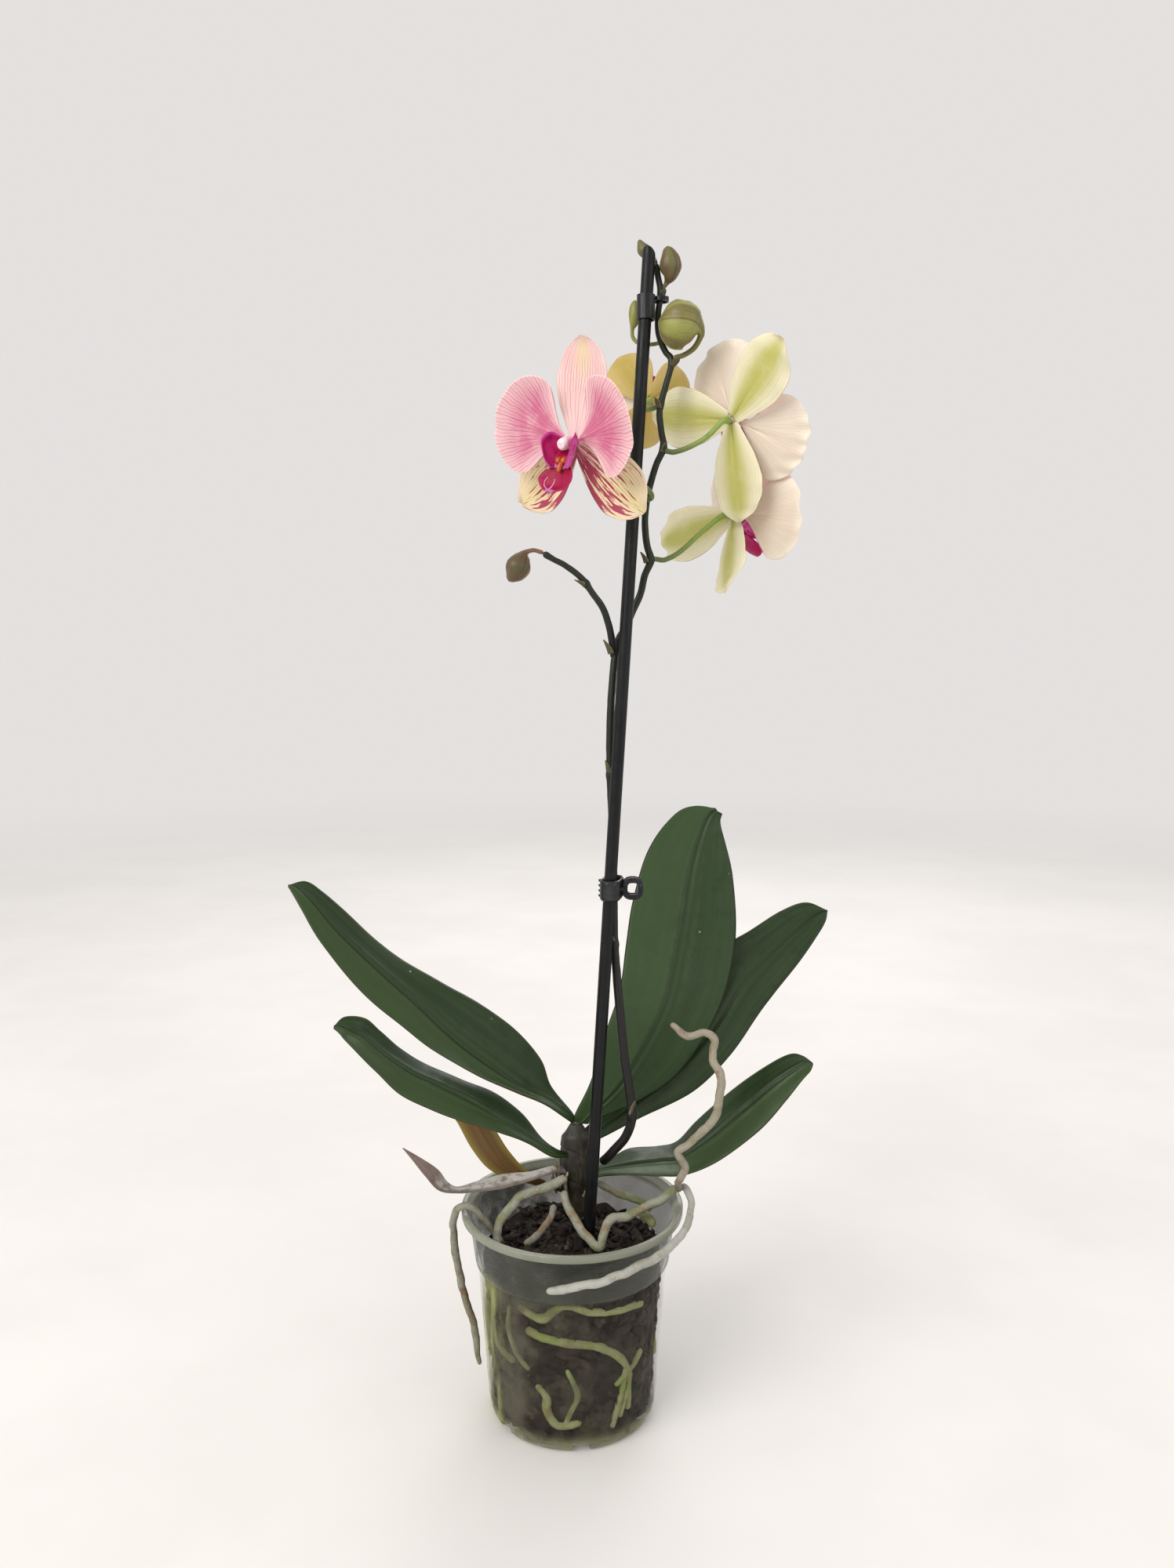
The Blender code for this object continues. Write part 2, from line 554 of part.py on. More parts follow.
def segment_grid(kind, spec, angle, rows=7):
    """A sepal or petal in flower axes. Petals lie PETAL_STEP in front of the sepals."""
    s = np.linspace(-1, 1, 7 if kind == "petal" else 5)[None, :]
    if kind == "petal":
        tilt, length, spread = spec["petal"]
        t = np.linspace(0.07, 1, rows)[:, None]
        reach = length * (0.62 + 0.38 * (1 - np.abs(s) ** 2.2) ** (1 / 1.9))
        fan = s * math.radians(spread) * (0.35 + 0.65 * (1 - (1 - t) ** 2))
        a, b = reach * t * np.cos(fan), reach * t * np.sin(fan)
    else:
        tilt, length, width = spec["sepal"]
        tilt = spec.get("dorsal", tilt) if angle == 0 else tilt
        t = np.linspace(0, 1, rows)[:, None]
        a = length * t + 0 * s
        b = s * width * np.interp(t, *SEPAL_SHAPE)
    x, y, h = curved(a, b, math.radians(tilt), math.radians(spec["curl"]), length, spec["cup"])
    x = x + HEART_R + (0.5 if kind == "sepal" else 0.0)
    h = h + (PETAL_STEP if kind == "petal" else 0.0)
    a = math.radians(angle)
    return np.stack([x * math.sin(a) + y * math.cos(a), x * math.cos(a) - y * math.sin(a), h], -1)


def lip_grid(spec, rows=9, columns=7):
    """The lip: a trough with raised side lobes at its root, a waist, and a tongue."""
    scale = 0.6 if spec["petal"][1] < 30 else 1.0
    path = spline([(0, -4.2, 5.6), (0, -6.5, 8.5), (0, -9.5, 11.5), (0, -13, 13.5),
                   (0, -17, 14.3), (0, -21, 13.4), (0, -24, 11.2)], rows)
    t = np.linspace(0, 1, rows)
    wide = np.interp(t, [0, 0.16, 0.3, 0.45, 0.6, 0.8, 1], [3.0, 11.0, 11.0, 5.0, 8.0, 7.0, 1.2])
    raise_ = np.interp(t, [0, 0.16, 0.3, 0.45, 0.7, 1], [1.0, 1.25, 1.2, 0.8, 0.15, 0.0])
    s = np.linspace(-1, 1, columns)
    turn = s[None] * raise_[:, None]
    safe = np.maximum(raise_, 0.05)[:, None]
    across = wide[:, None] * np.sin(s[None] * safe) / safe
    lift = wide[:, None] * (1 - np.cos(turn)) / safe
    grid = np.zeros((rows, columns, 3))
    grid[..., 0] = path[:, None, 0] + across
    grid[..., 1] = path[:, None, 1] + 0.72 * lift
    grid[..., 2] = path[:, None, 2] + 0.70 * lift
    return grid * scale


def make_flowers():
    for name, spec in FLOWERS.items():
        axes = flower_axes(spec["face"], spec["turn"])
        heart = np.array(spec["heart"], float)
        put = lambda grid: heart + grid @ axes
        start = "flower_" + name + "_"
        for tag, kind, angle in (("dorsal_sepal", "sepal", 0), ("left_sepal", "sepal", -130),
                                 ("right_sepal", "sepal", 130), ("left_petal", "petal", -72),
                                 ("right_petal", "petal", 72)):
            slot = "petal_pink" if kind == "petal" or name == "front" else "sepal_green"
            sheet(start + tag, put(segment_grid(kind, spec, angle)), SEPAL_T, slot)
        sheet(start + "lip", put(lip_grid(spec)), 1.1, "lip_magenta")
        tip = 0.6 if name == "rear" else 1.0
        middle = [(0, 0, -7, 1.5), (0, 0, -2, 1.7), (0, 0, 3, 1.9), (0, 0.3, 6 * tip, 2.6 * tip),
                  (0, 0.9, 10 * tip, 2.9 * tip), (0, 0.6, 12.4 * tip, 2.0 * tip)]
        points = [(*p, 1.35) for p in spec["stalk"]]
        points += [(*put(np.array(m[:3], float)), m[3]) for m in middle]
        tube(start + "column", off_spike(spline(points, 22)), "stem_green")


# ---------------------------------------------------------------- roots
ROOTS = {
    "root_arch": ([(-3, 4, 127, 2.6), (-13, 2, 122.5, 2.8), (-26, -2, 120, 2.7),
                   (-33, -7, 115.5, 2.7), (-38, -11, 110.5, 2.6), (-40, -13, 104, 2.5),
                   (-40, -14, 96, 2.3)], "root_grey"),
    "root_zigzag": ([(-5, 5, 119, 2.3), (-3, 1, 114, 2.4), (2, -5, 106, 2.5), (9, -12, 100, 2.5),
                     (14, -17, 97, 2.4), (17, -11, 103, 2.5), (21.5, -4.5, 107.5, 2.6),
                     (30, -2.5, 107.5, 2.6), (38, 0.5, 111, 2.6), (47, 1, 114.8, 2.6),
                     (53, 3, 118.8, 2.5)], "root_grey"),
    "root_climbing": ([(58.5, 6, 119.4, 2.4), (57, -2, 126, 2.4), (58, -8, 132, 2.4),
                       (60.5, -10, 139, 2.4), (58, -12, 144, 2.4), (56, -13, 148.5, 2.4),
                       (61, -13.5, 153, 2.4), (69, -14, 161, 2.6), (75.5, -14, 168.5, 2.7),
                       (77.5, -13, 177, 2.6), (79, -9, 189, 2.7), (75, -4, 196, 2.5),
                       (76.5, 1, 205.5, 2.4), (71, 3, 209, 2.3), (62, 4, 207, 2.3),
                       (53, 5, 213, 1.8)], "root_grey"),
    "root_over_rim": ([(62.4, 1.5, 121.6, 2.3), (64.4, -6, 117.4, 2.3), (60.8, -21, 112.6, 2.3),
                       (53.8, -33.6, 110, 2.4), (46, -43.4, 108, 2.5), (36.2, -51, 107, 2.5),
                       (20.3, -58.3, 103.2, 2.5), (4.7, -60.6, 100.5, 2.5),
                       (-6, -60.6, 98.6, 2.4), (-12.1, -60.0, 97.2, 1.7)], "root_grey"),
    "root_brown": ([(-10, 3, 112, 2.0), (-12, 0, 106, 2.0), (-17, -6, 101, 2.0),
                    (-25, -15, 98, 1.9)], "root_grey"),
    "root_grey_right": ([(14, 18, 118, 2.3), (24, 16, 113, 2.3), (36, 14, 109, 2.2),
                         (44, 12.5, 104, 2.0)], "root_grey"),
    "root_hanging_left": ([(-61.5, -12, 109, 2.2), (-63.8, -9, 100, 2.4), (-62.5, -6, 85, 2.4),
                           (-60, -3, 67, 2.3), (-57, -2, 55, 2.3), (-53.6, -5, 46, 2.2),
                           (-52, -7, 35, 2.1), (-50.4, -10, 27, 1.3)], "root_grey"),
    "root_stub": ([(37, 9, 103, 2.4), (42, 7, 101.5, 2.8), (45, 3, 99.5, 2.0)], "root_green"),
}
# Roots that run down the inside of the wall: angle round the pot in degrees, height, radius.
WALL_ROOTS = {
    "wall_root_upper": [(-125, 78, 2.0), (-109, 74, 2.3), (-101, 79, 2.3), (-93, 83, 2.2),
                        (-79, 79, 2.2), (-66, 77, 2.2), (-52, 76, 2.1), (-35, 74, 1.9)],
    "wall_root_middle": [(-120, 66, 1.9), (-110, 64, 2.3), (-94, 62, 2.3), (-74, 59, 2.3),
                         (-58, 50, 2.3), (-50, 40, 2.1), (-48, 26, 2.0), (-48, 14, 1.8)],
    "wall_root_low": [(-114, 36, 1.8), (-107, 30, 2.2), (-107, 22, 2.3), (-101, 15, 2.3),
                      (-92, 15, 2.1), (-81, 18, 1.8)],
    "wall_root_left": [(-145, 84, 2.0), (-151, 68, 2.2), (-154, 53, 2.2), (-141, 46, 2.1),
                       (-128, 44, 1.8)],
}


def settled(line):
    """Keeps a root above the bark, and clear of the pot's inner face below the rim."""
    line = line.copy()
    for p in line:
        out = math.hypot(p[0], p[1])
        if out < inner_r(84) - 1:
            p[2] = max(p[2], float(bark_top(p[0], p[1])) + p[3] + 1.2)
        if out < RIM_R - 3 and 80 < p[2] < POT_H + 4:
            limit = inner_r(p[2] if p[2] < POT_H - 3 else POT_H - 3) - p[3] - 0.5
            if out > limit and p[2] < POT_H + p[3]:
                p[0] *= limit / out
                p[1] *= limit / out
    return line


def make_roots():
    for name, (points, slot) in ROOTS.items():
        line = spline(points, max(9, 3 * len(points)))
        if name not in ("root_over_rim", "root_hanging_left", "root_climbing"):
            line = settled(line)
        tube(name, line, slot)
    for name, points in WALL_ROOTS.items():
        line = spline(points, 4 * len(points))
        path = []
        for angle, z, radius in line:
            r = inner_r(z) - radius - 0.35
            a = math.radians(angle)
            path.append((r * math.cos(a), r * math.sin(a), z, radius))
        tube(name, path, "root_green")


make_pot()
make_bark()
make_stake_and_clips()
make_crown()
make_leaves()
make_spike()
make_flowers()
make_roots()
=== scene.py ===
import functools
import itertools
import math

import bmesh
import bpy
import numpy as np
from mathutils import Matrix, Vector


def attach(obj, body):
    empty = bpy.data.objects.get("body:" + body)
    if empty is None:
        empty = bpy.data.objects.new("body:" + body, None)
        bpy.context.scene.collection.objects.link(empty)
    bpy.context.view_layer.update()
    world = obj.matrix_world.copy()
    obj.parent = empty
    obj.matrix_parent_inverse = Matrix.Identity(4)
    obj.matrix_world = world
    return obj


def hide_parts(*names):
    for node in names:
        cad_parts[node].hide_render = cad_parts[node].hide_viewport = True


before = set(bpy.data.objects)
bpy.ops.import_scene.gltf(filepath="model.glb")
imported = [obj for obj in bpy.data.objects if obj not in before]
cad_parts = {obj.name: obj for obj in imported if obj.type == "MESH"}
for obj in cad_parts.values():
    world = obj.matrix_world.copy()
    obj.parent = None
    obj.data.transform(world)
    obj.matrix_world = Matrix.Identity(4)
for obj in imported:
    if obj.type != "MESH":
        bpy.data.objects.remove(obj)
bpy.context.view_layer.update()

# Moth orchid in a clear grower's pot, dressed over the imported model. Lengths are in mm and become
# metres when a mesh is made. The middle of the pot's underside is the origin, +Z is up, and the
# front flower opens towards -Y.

MM = 0.001
TAU = 2 * math.pi

# Pot
RIM_R, POT_H, LIP_H = 60.0, 115.0, 4.0
COLLAR_TOP_R, COLLAR_LOW_R, COLLAR_LOW_Z = 56.0, 52.6, 85.0
WALL_TOP_R, BASE_R, BASE_CORNER = 51.2, 45.4, 4.0
WALL, FLOOR = 1.0, 1.6
SLOTS, SLOT_W, SLOT_H, SLOT_TURN = 6, 9.0, 5.0, 0.62
SLOT_CELLS, WALL_CELLS = 5, 24
SLOT_STOPS = (1, 4, 25, 30)  # the profile's points where a slot's cut starts and ends, in and out
AXIS_R = 0.001
SOFT_EDGE = math.radians(50)
BARK_LOW_Z, BARK_SIDE_Z, BARK_TOP_Z, BARK_GAP = 2.2, 89.5, 93.0, 2.4
TOP_CHIPS, WALL_CHIPS = 420, 950

# Stake
STAKE_R = 3.2
STAKE_LOW, STAKE_TOP, STAKE_CUT = (6.65, -3.2, 60.0), (39.0, 0.0, 611.0), 2.2
STAKE_FOOT = (8.6, -3.0)  # where it enters the bark

# Clips: the lower one's height, and how deep its two open frames lie
CLIP_Z, CLIP_FRAMES = 288, (0.9, 5.3)

# Crown: the middle of the short stem, and its ends
CROWN_X, CROWN_Y, CROWN_LOW, CROWN_TOP = 2.0, 15.5, 99.5, 153.0

# Leaves: grid rows along and columns across, then thickness and ripple of both kinds
LEAF_GRID, GREEN_LEAF, OLD_LEAF = (150, 37), (2.0, 0.5), (0.9, 0.7)

# Flowers: how far petals stand in front of sepals and sepals start further out, where all
# segments start, the rear flower's share, a full segment's length, its grid, its wave
PETAL_STEP, SEPAL_START, HEART_R, SMALL_FLOWER = 2.4, 0.5, 3.6, 0.6
FULL_LENGTH, SEGMENT_GRID, SOFT_WAVE = 45, (56, 49), 0.9

# Studio, in metres
FLOOR_R, FLOOR_FADE = 3.2, (3.0, 0.9)


# ------------------------------------------------------------------ numbers over a surface
def unit(v):
    """Each vector divided by its length."""
    return v / np.maximum(np.linalg.norm(v, axis=-1, keepdims=True), 1e-9)


def lumps(points, size, seed, waves=10):
    """Smooth bumps from about -1 to 1: the mean of sine waves that run in random directions,
    with wavelengths near size."""
    rng = np.random.default_rng(seed)
    way = unit(rng.normal(size=(waves, 3))) * TAU / (size * rng.uniform(0.7, 1.5, (waves, 1)))
    return np.sin(points @ way.T + rng.uniform(0, TAU, waves)).mean(-1) * 2.2


def bell(x, middle, width):
    """A rounded bump: e to the minus square of the distance from the middle in widths."""
    return np.exp(-(((x - middle) / width) ** 2))


def ease(x, low, high):
    """Rises smoothly from 0 at low to 1 at high: 3q^2 - 2q^3 of the share q."""
    q = np.clip((x - low) / (high - low), 0, 1)
    return q * q * (3 - 2 * q)


def through(p, at):
    """Catmull-Rom curve through the rows of p, read at control-point numbers at."""
    p = np.asarray(p, float)
    q = np.vstack([2 * p[0] - p[1], p, 2 * p[-1] - p[-2]])
    i = np.minimum(at.astype(int), len(p) - 2)
    u = (at - i)[:, None]
    a, b, c, d = q[i], q[i + 1], q[i + 2], q[i + 3]
    return 0.5 * (2 * b + (c - a) * u + (2 * a - 5 * b + 4 * c - d) * u**2
                  + (3 * b - a - 3 * c + d) * u**3)


def path(points, step=1.0):
    """Even samples, step apart, of the curve through points of x, y, z, radius. Each end is
    closed like a dome: its radius falls as a quarter circle over the last radius of length."""
    p = np.asarray(points, float)
    fine = through(p, np.linspace(0, len(p) - 1, 24 * len(p)))
    far = np.r_[0, np.cumsum(np.linalg.norm(np.diff(fine[:, :3], axis=0), axis=1))]
    at = np.linspace(0, far[-1], max(8, int(far[-1] / step)))
    dome = 1 - np.cos(np.linspace(0, math.pi / 2, 7))
    at = np.unique(np.round(np.r_[at, fine[0, 3] * dome, far[-1] - fine[-1, 3] * dome], 4))
    line = np.stack([np.interp(at, far, fine[:, k]) for k in range(4)], 1)
    for gap, r in ((at, fine[0, 3]), (far[-1] - at, fine[-1, 3])):
        line[:, 3] *= np.sqrt(np.clip(1 - np.clip(1 - gap / r, 0, 0.985) ** 2, 0, 1))
    return line


def sweep(line, sides=20, relief=0.0, size=6.0, seed=0, shape=None):
    """Rings round a path: point + radius (cos w, sin w) on two directions square to the path,
    with the radius made lumpy by relief and scaled by shape(turn w, share along)."""
    p, r = line[:, :3], line[:, 3]
    ahead = unit(np.gradient(p, axis=0))
    steady = np.linalg.eigh(ahead.T @ ahead)[1][:, 0]
    side = unit(steady - (ahead @ steady)[:, None] * ahead)
    front = np.cross(ahead, side)
    w = TAU * np.arange(sides) / sides
    out = side[:, None] * np.cos(w)[:, None] + front[:, None] * np.sin(w)[:, None]
    share = np.linspace(0, 1, len(p))
    reach = np.repeat(r[:, None], sides, 1)
    if shape is not None:
        reach = reach * shape(w[None, :], share[:, None])
    if relief:
        reach = reach * (1 + relief * lumps(p[:, None] + out * r[:, None, None], size, seed))
    rings = p[:, None] + out * reach[..., None]
    follow = np.stack([np.repeat(np.cos(w)[None], len(p), 0), np.repeat(share[:, None], sides, 1),
                       np.repeat(np.sin(w)[None], len(p), 0)], -1)
    return closed(rings, follow)


def closed(rings, follow, zipped=False):
    """Skin over rings of points: four-sided faces between neighbours. Each end is closed by a
    fan to its middle or, where zipped, by faces that join the ring's two long sides."""
    rows, around = rings.shape[:2]
    i = np.arange(rows - 1)[:, None] * around
    j = np.arange(around)[None]
    k = (j + 1) % around
    quads = np.stack([i + j, i + k, i + around + k, i + around + j], -1).reshape(-1, 4)
    a, b, last = j[0], k[0], (rows - 1) * around
    if zipped:
        a = np.arange(around // 2)
        b, c, d = a + 1, (around - a - 1) % around, (around - a) % around
        ends = np.stack([b, a, d, c], 1)
        ends = np.vstack([ends[1:-1], last + ends[1:-1][:, ::-1]])
        top = around // 2
        fans = np.array([[1, 0, around - 1], [top, top - 1, top + 1]])
        fans = np.vstack([fans, last + fans[:, ::-1]])
        return [rings.reshape(-1, 3), np.vstack([quads, ends]), fans, follow.reshape(-1, 3)]
    fans = np.vstack([np.stack([b, a, 0 * a + rows * around], 1),
                      np.stack([a + last, b + last, 0 * a + rows * around + 1], 1)])
    ends = np.stack([rings[0].mean(0), rings[-1].mean(0)])
    marks = np.stack([follow[0].mean(0), follow[-1].mean(0)])
    return [np.vstack([rings.reshape(-1, 3), ends]), quads, fans,
            np.vstack([follow.reshape(-1, 3), marks])]


def blade(middle, top, under, across, along):
    """A closed blade about a middle surface: the upper skin is the surface plus its normal times
    top, the lower skin is the surface less its normal times under, and they meet at the rims."""
    out = unit(np.cross(np.gradient(middle, axis=0), np.gradient(middle, axis=1)))
    upper, lower = middle + out * top[..., None], middle - out * under[..., None]
    rings = np.concatenate([upper, lower[:, -2:0:-1]], 1)
    shape = middle.shape[:2]
    v, t = np.broadcast_to(across, shape), np.broadcast_to(along, shape)
    one = np.ones(shape)
    follow = np.concatenate([np.stack([v, t, one], -1),
                             np.stack([v, t, 0 * one], -1)[:, -2:0:-1]], 1)
    return closed(rings, follow, True)


def about_z(reach, turn, z):
    """Points at a reach from the Z axis, a turn about it and a height."""
    return np.stack(np.broadcast_arrays(reach * np.cos(turn), reach * np.sin(turn), z), -1)


def volume_under(points, faces):
    """Six times the volume between triangles and the origin: the sum of a . (b x c)."""
    a, b, c = points[faces[:, 0]], points[faces[:, 1]], points[faces[:, 2]]
    return np.einsum("ij,ij->i", a, np.cross(b, c)).sum()


def place(name, mesh, finish, slot, replaces=()):
    """Puts a mesh into the scene on the frame's only body."""
    mesh.materials.append(finish)
    obj = bpy.data.objects.new(name, mesh)
    bpy.context.scene.collection.objects.link(obj)
    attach(obj, "root")
    if replaces:
        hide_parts(*replaces)


def piece(name, shapes, finish, slot, *replaces):
    """One piece from closed skins of points, quads, triangles and follow marks. Each skin is
    turned so that the volume under its faces is positive."""
    points, faces, follow, first = [], [], [], 0
    for p, quads, fans, marks in shapes:
        centred = p - p.mean(0)
        volume = sum(volume_under(centred, faces_of) for faces_of in
                     (fans, quads[:, :3], quads[:, [0, 2, 3]]))
        turn = -1 if volume < 0 else 1
        faces += (quads[:, ::turn] + first).tolist() + (fans[:, ::turn] + first).tolist()
        points.append(p)
        follow.append(marks)
        first += len(p)
    mesh = bpy.data.meshes.new(name)
    mesh.from_pydata((np.vstack(points) * MM).tolist(), [], faces)
    mesh.polygons.foreach_set("use_smooth", np.ones(len(faces), bool))
    mark = mesh.attributes.new("follow", "FLOAT_VECTOR", "POINT")
    mark.data.foreach_set("vector", np.vstack(follow).astype(np.float32).ravel())
    mesh.update()
    place(name, mesh, finish, slot, replaces)


# ------------------------------------------------------------------ finishes
def shade(colour, *by):
    """A colour made lighter or darker, by one factor or by one for each channel."""
    return tuple(min(1.0, c * k) for c, k in zip(colour, by * (3 // len(by))))


class Board:
    """Short ways to add nodes to one node tree. Each gives back an output socket."""

    def __init__(self, tree):
        self.tree = tree

    def feed(self, socket, value):
        if isinstance(value, bpy.types.NodeSocket):
            self.tree.links.new(value, socket)
        elif isinstance(value, tuple) and len(value) == 3 and socket.type == "RGBA":
            socket.default_value = (*value, 1.0)
        else:
            socket.default_value = value

    def add(self, kind, inputs, out=0, **settings):
        node = self.tree.nodes.new("ShaderNode" + kind)
        for key, value in settings.items():
            setattr(node, key, value)
        for key, value in inputs.items():
            self.feed(node.inputs[key], value)
        return node.outputs[out]

    def maths(self, operation, *values):
        return self.add("Math", dict(enumerate(values)), operation=operation)

    def times(self, *values):
        return functools.reduce(lambda a, b: self.maths("MULTIPLY", a, b), values)

    def plus(self, *values):
        return functools.reduce(lambda a, b: self.maths("ADD", a, b), values)

    def size(self, value):
        return self.maths("ABSOLUTE", value)

    def split(self, vector):
        """The three parts of a vector."""
        return self.add("SeparateXYZ", {0: vector}).node.outputs

    def noise(self, place, scale, detail=2.0, **more):
        return self.add("TexNoise", {"Vector": place, "Scale": scale, "Detail": detail, **more})

    def rise(self, value, low, high, bottom=0.0, top=1.0):
        """Goes smoothly from bottom, where the value is low, to top, where it is high."""
        return self.add("MapRange", {0: value, 1: low, 2: high, 3: bottom, 4: top},
                        interpolation_type="SMOOTHSTEP")

    def mix(self, amount, first, second):
        return self.add("Mix", {0: amount, 6: first, 7: second}, 2, data_type="RGBA")

    def coats(self, colour, *over):
        """A colour with others laid over it in turn: each has a mask, a strength, a colour."""
        for mask, strength, top in over:
            colour = self.mix(mask if strength == 1 else self.times(mask, strength), colour, top)
        return colour


def effect_group(name, inputs, output, build):
    """A shader node group. Its inputs are numbers, apart from Place, and build(board, sockets)
    gives the socket that feeds its one output."""
    tree = bpy.data.node_groups.new(name, "ShaderNodeTree")
    for key in inputs:
        kind = "NodeSocketVector" if key == "Place" else "NodeSocketFloat"
        tree.interface.new_socket(name=key, in_out="INPUT", socket_type=kind)
    tree.interface.new_socket(name=output, in_out="OUTPUT", socket_type="NodeSocketFloat")
    start, end = tree.nodes.new("NodeGroupInput"), tree.nodes.new("NodeGroupOutput")
    tree.links.new(build(Board(tree), start.outputs), end.inputs[0])
    return tree


def build_mottle(b, s):
    """Cloudy patches: noise of one size in mm, sharpened between Low and High."""
    noise = b.noise(s["Place"], b.maths("DIVIDE", 1 / MM, s["Size"]), 4.0, Roughness=0.6)
    return b.rise(noise, s["Low"], s["High"])


def build_speckle(b, s):
    """Small round spots: cells whose random colour passes the Share, near the cell's middle."""
    cell = b.add("TexVoronoi", {"Vector": s["Place"],
                                "Scale": b.maths("DIVIDE", 1 / MM, s["Size"])}).node.outputs
    red = b.add("SeparateColor", {"Color": cell["Color"]})
    return b.times(b.maths("LESS_THAN", red, s["Share"]),
                   b.rise(cell["Distance"], s["Spread"], 0.04))


def build_veins(b, s):
    """Branching veins: thin lines at whole numbers of across times count, bent by noise. Twice
    as many start a third of the way along, and four times as many past half way."""
    bend = b.times(b.maths("SUBTRACT", b.noise(s["Place"], 170.0), 0.5), s["Wander"])
    turn = b.plus(b.times(s["Across"], s["Count"]), bend)
    main, young, fine = (b.rise(b.maths("PINGPONG", b.times(turn, times), 0.5),
                                b.times(s["Width"], times), 0.0) for times in (1.0, 2.0, 4.0))
    young = b.times(young, b.rise(s["Along"], 0.30, 0.55, 0.0, 0.85))
    fine = b.times(fine, b.rise(s["Along"], 0.62, 0.85, 0.0, 0.6))
    return b.maths("MAXIMUM", main, b.maths("MAXIMUM", young, fine))


def build_rim(b, s):
    """A band along the rims of a blade: the size of across, or along, past a start."""
    tip = b.rise(s["Along"], b.plus(s["Start"], 0.04), 1.0)
    return b.maths("MAXIMUM", b.rise(b.size(s["Across"]), s["Start"], 1.0), tip)


def build_grain(b, s):
    """Fine relief: coarse noise plus a quarter of one four times finer."""
    scale = b.maths("DIVIDE", 1 / MM, s["Size"])
    fine = b.noise(s["Place"], b.times(scale, 4.0))
    return b.plus(b.noise(s["Place"], scale, 3.0), b.times(fine, 0.25))


MOTTLE = effect_group("mottle", ("Place", "Size", "Low", "High"), "Mask", build_mottle)
SPECKLE = effect_group("speckle", ("Place", "Size", "Share", "Spread"), "Mask", build_speckle)
VEINS = effect_group("veins", ("Place", "Across", "Along", "Count", "Width", "Wander"), "Mask",
                     build_veins)
RIM_BAND = effect_group("rim_band", ("Across", "Along", "Start"), "Mask", build_rim)
GRAIN = effect_group("grain", ("Place", "Size"), "Height", build_grain)


class Finish(Board):
    """A material with its shader, its own place and the follow marks of its surface: across,
    along, and side, which is 1 on a blade's upper skin."""

    def __init__(self, name, **fixed):
        self.material = bpy.data.materials.new(name)
        self.material.use_nodes = True
        super().__init__(self.material.node_tree)
        self.shader = self.tree.nodes["Principled BSDF"]
        for key, value in fixed.items():
            self.shader.inputs[key.replace("_", " ")].default_value = value
        self.place = self.add("TexCoord", {}, "Object")
        marks = self.add("Attribute", {}, "Vector", attribute_name="follow")
        self.across, self.along, self.side = self.split(marks)

    def effect(self, group, *values):
        """A group whose inputs are given in its own order."""
        return self.add("Group", dict(enumerate(values)), node_tree=group)

    def mottle(self, size, low=0.35, high=0.65, stretch=None):
        place = self.place
        if stretch:
            place = self.add("Mapping", {"Vector": place, "Scale": stretch})
        return self.effect(MOTTLE, place, size, low, high)

    def speckle(self, size, share, spread):
        return self.effect(SPECKLE, self.place, size, share, spread)

    def veins(self, *shape):
        return self.effect(VEINS, self.place, self.across, self.along, *shape)

    def rim(self, start):
        return self.effect(RIM_BAND, self.across, self.along, start)

    def grain(self, size):
        return self.effect(GRAIN, self.place, size)

    def patchy(self, size, low, high):
        """A value that drifts between low and high in patches."""
        return self.rise(self.mottle(size), 0.0, 1.0, low, high)

    def streaks(self, wide, long, scale, detail, start=0.0):
        """Noise drawn out along a blade: wide cells per width, long cells per length."""
        flow = self.add("CombineXYZ", {0: self.times(self.across, wide),
                                       1: self.times(self.along, long), 2: start})
        return self.noise(flow, scale, detail)

    def done(self, colour, rough, height=None, depth=0.2, alpha=None):
        """Feeds the shader. depth is how far the relief stands up, in mm."""
        self.feed(self.shader.inputs["Base Color"], colour)
        self.feed(self.shader.inputs["Roughness"], rough)
        if height is not None:
            bump = self.add("Bump", {"Height": height, "Distance": depth * MM, "Strength": 1.0})
            self.feed(self.shader.inputs["Normal"], bump)
        if alpha is not None:
            self.feed(self.shader.inputs["Alpha"], alpha)
        return self.material


def leaf_skin(name, dark, pale, under, edge, lit=1.0):
    """Leathery leaf: two greens in long streaks, one half painted paler as painted light on the
    side that lit points to, a dark line of painted shade in the midrib groove with a pale band
    beside it, pale specks, a thin dark edge and a duller lower side."""
    f = Finish(name, Specular_IOR_Level=0.30)
    off_rib, fibre = f.size(f.across), f.streaks(26.0, 0.49, 2.2, 3.0)
    green = f.coats(
        dark, (f.rise(f.streaks(1.0, 0.35, 5.0, 4.0), 0.30, 0.75, 0.08, 0.62), 1, pale),
        (f.rise(fibre, 0.45, 0.7, 0.0, 0.08), 1, pale), (f.mottle(14.0, 0.5, 0.75), 1, dark),
        # painted light: the half of the leaf on the lit side is painted paler
        (f.rise(f.times(f.across, lit), -0.03, 0.22, 0.0, 0.62), 1, shade(pale, 1.25)),
        # painted shade: a dark line along the midrib groove
        (f.rise(off_rib, 0.035, 0.0, 0.0, 0.75), 1, shade(dark, 0.45)),
        (f.rise(off_rib, 0.16, 0.05), 0.35, pale),
        (f.speckle(9.0, 0.10, 0.09), 0.6, (0.45, 0.45, 0.36)), (f.rim(0.955), 0.75, edge))
    low = f.coats(under, (f.mottle(9.0), 1, shade(under, 0.7)), (f.rim(0.93), 0.8, edge))
    rough = f.plus(f.patchy(7.0, 0.34, 0.46), f.times(fibre, 0.08))
    height = f.plus(f.times(fibre, 0.6), f.grain(0.7))
    return f.done(f.mix(f.side, low, green), rough, height, 0.06)


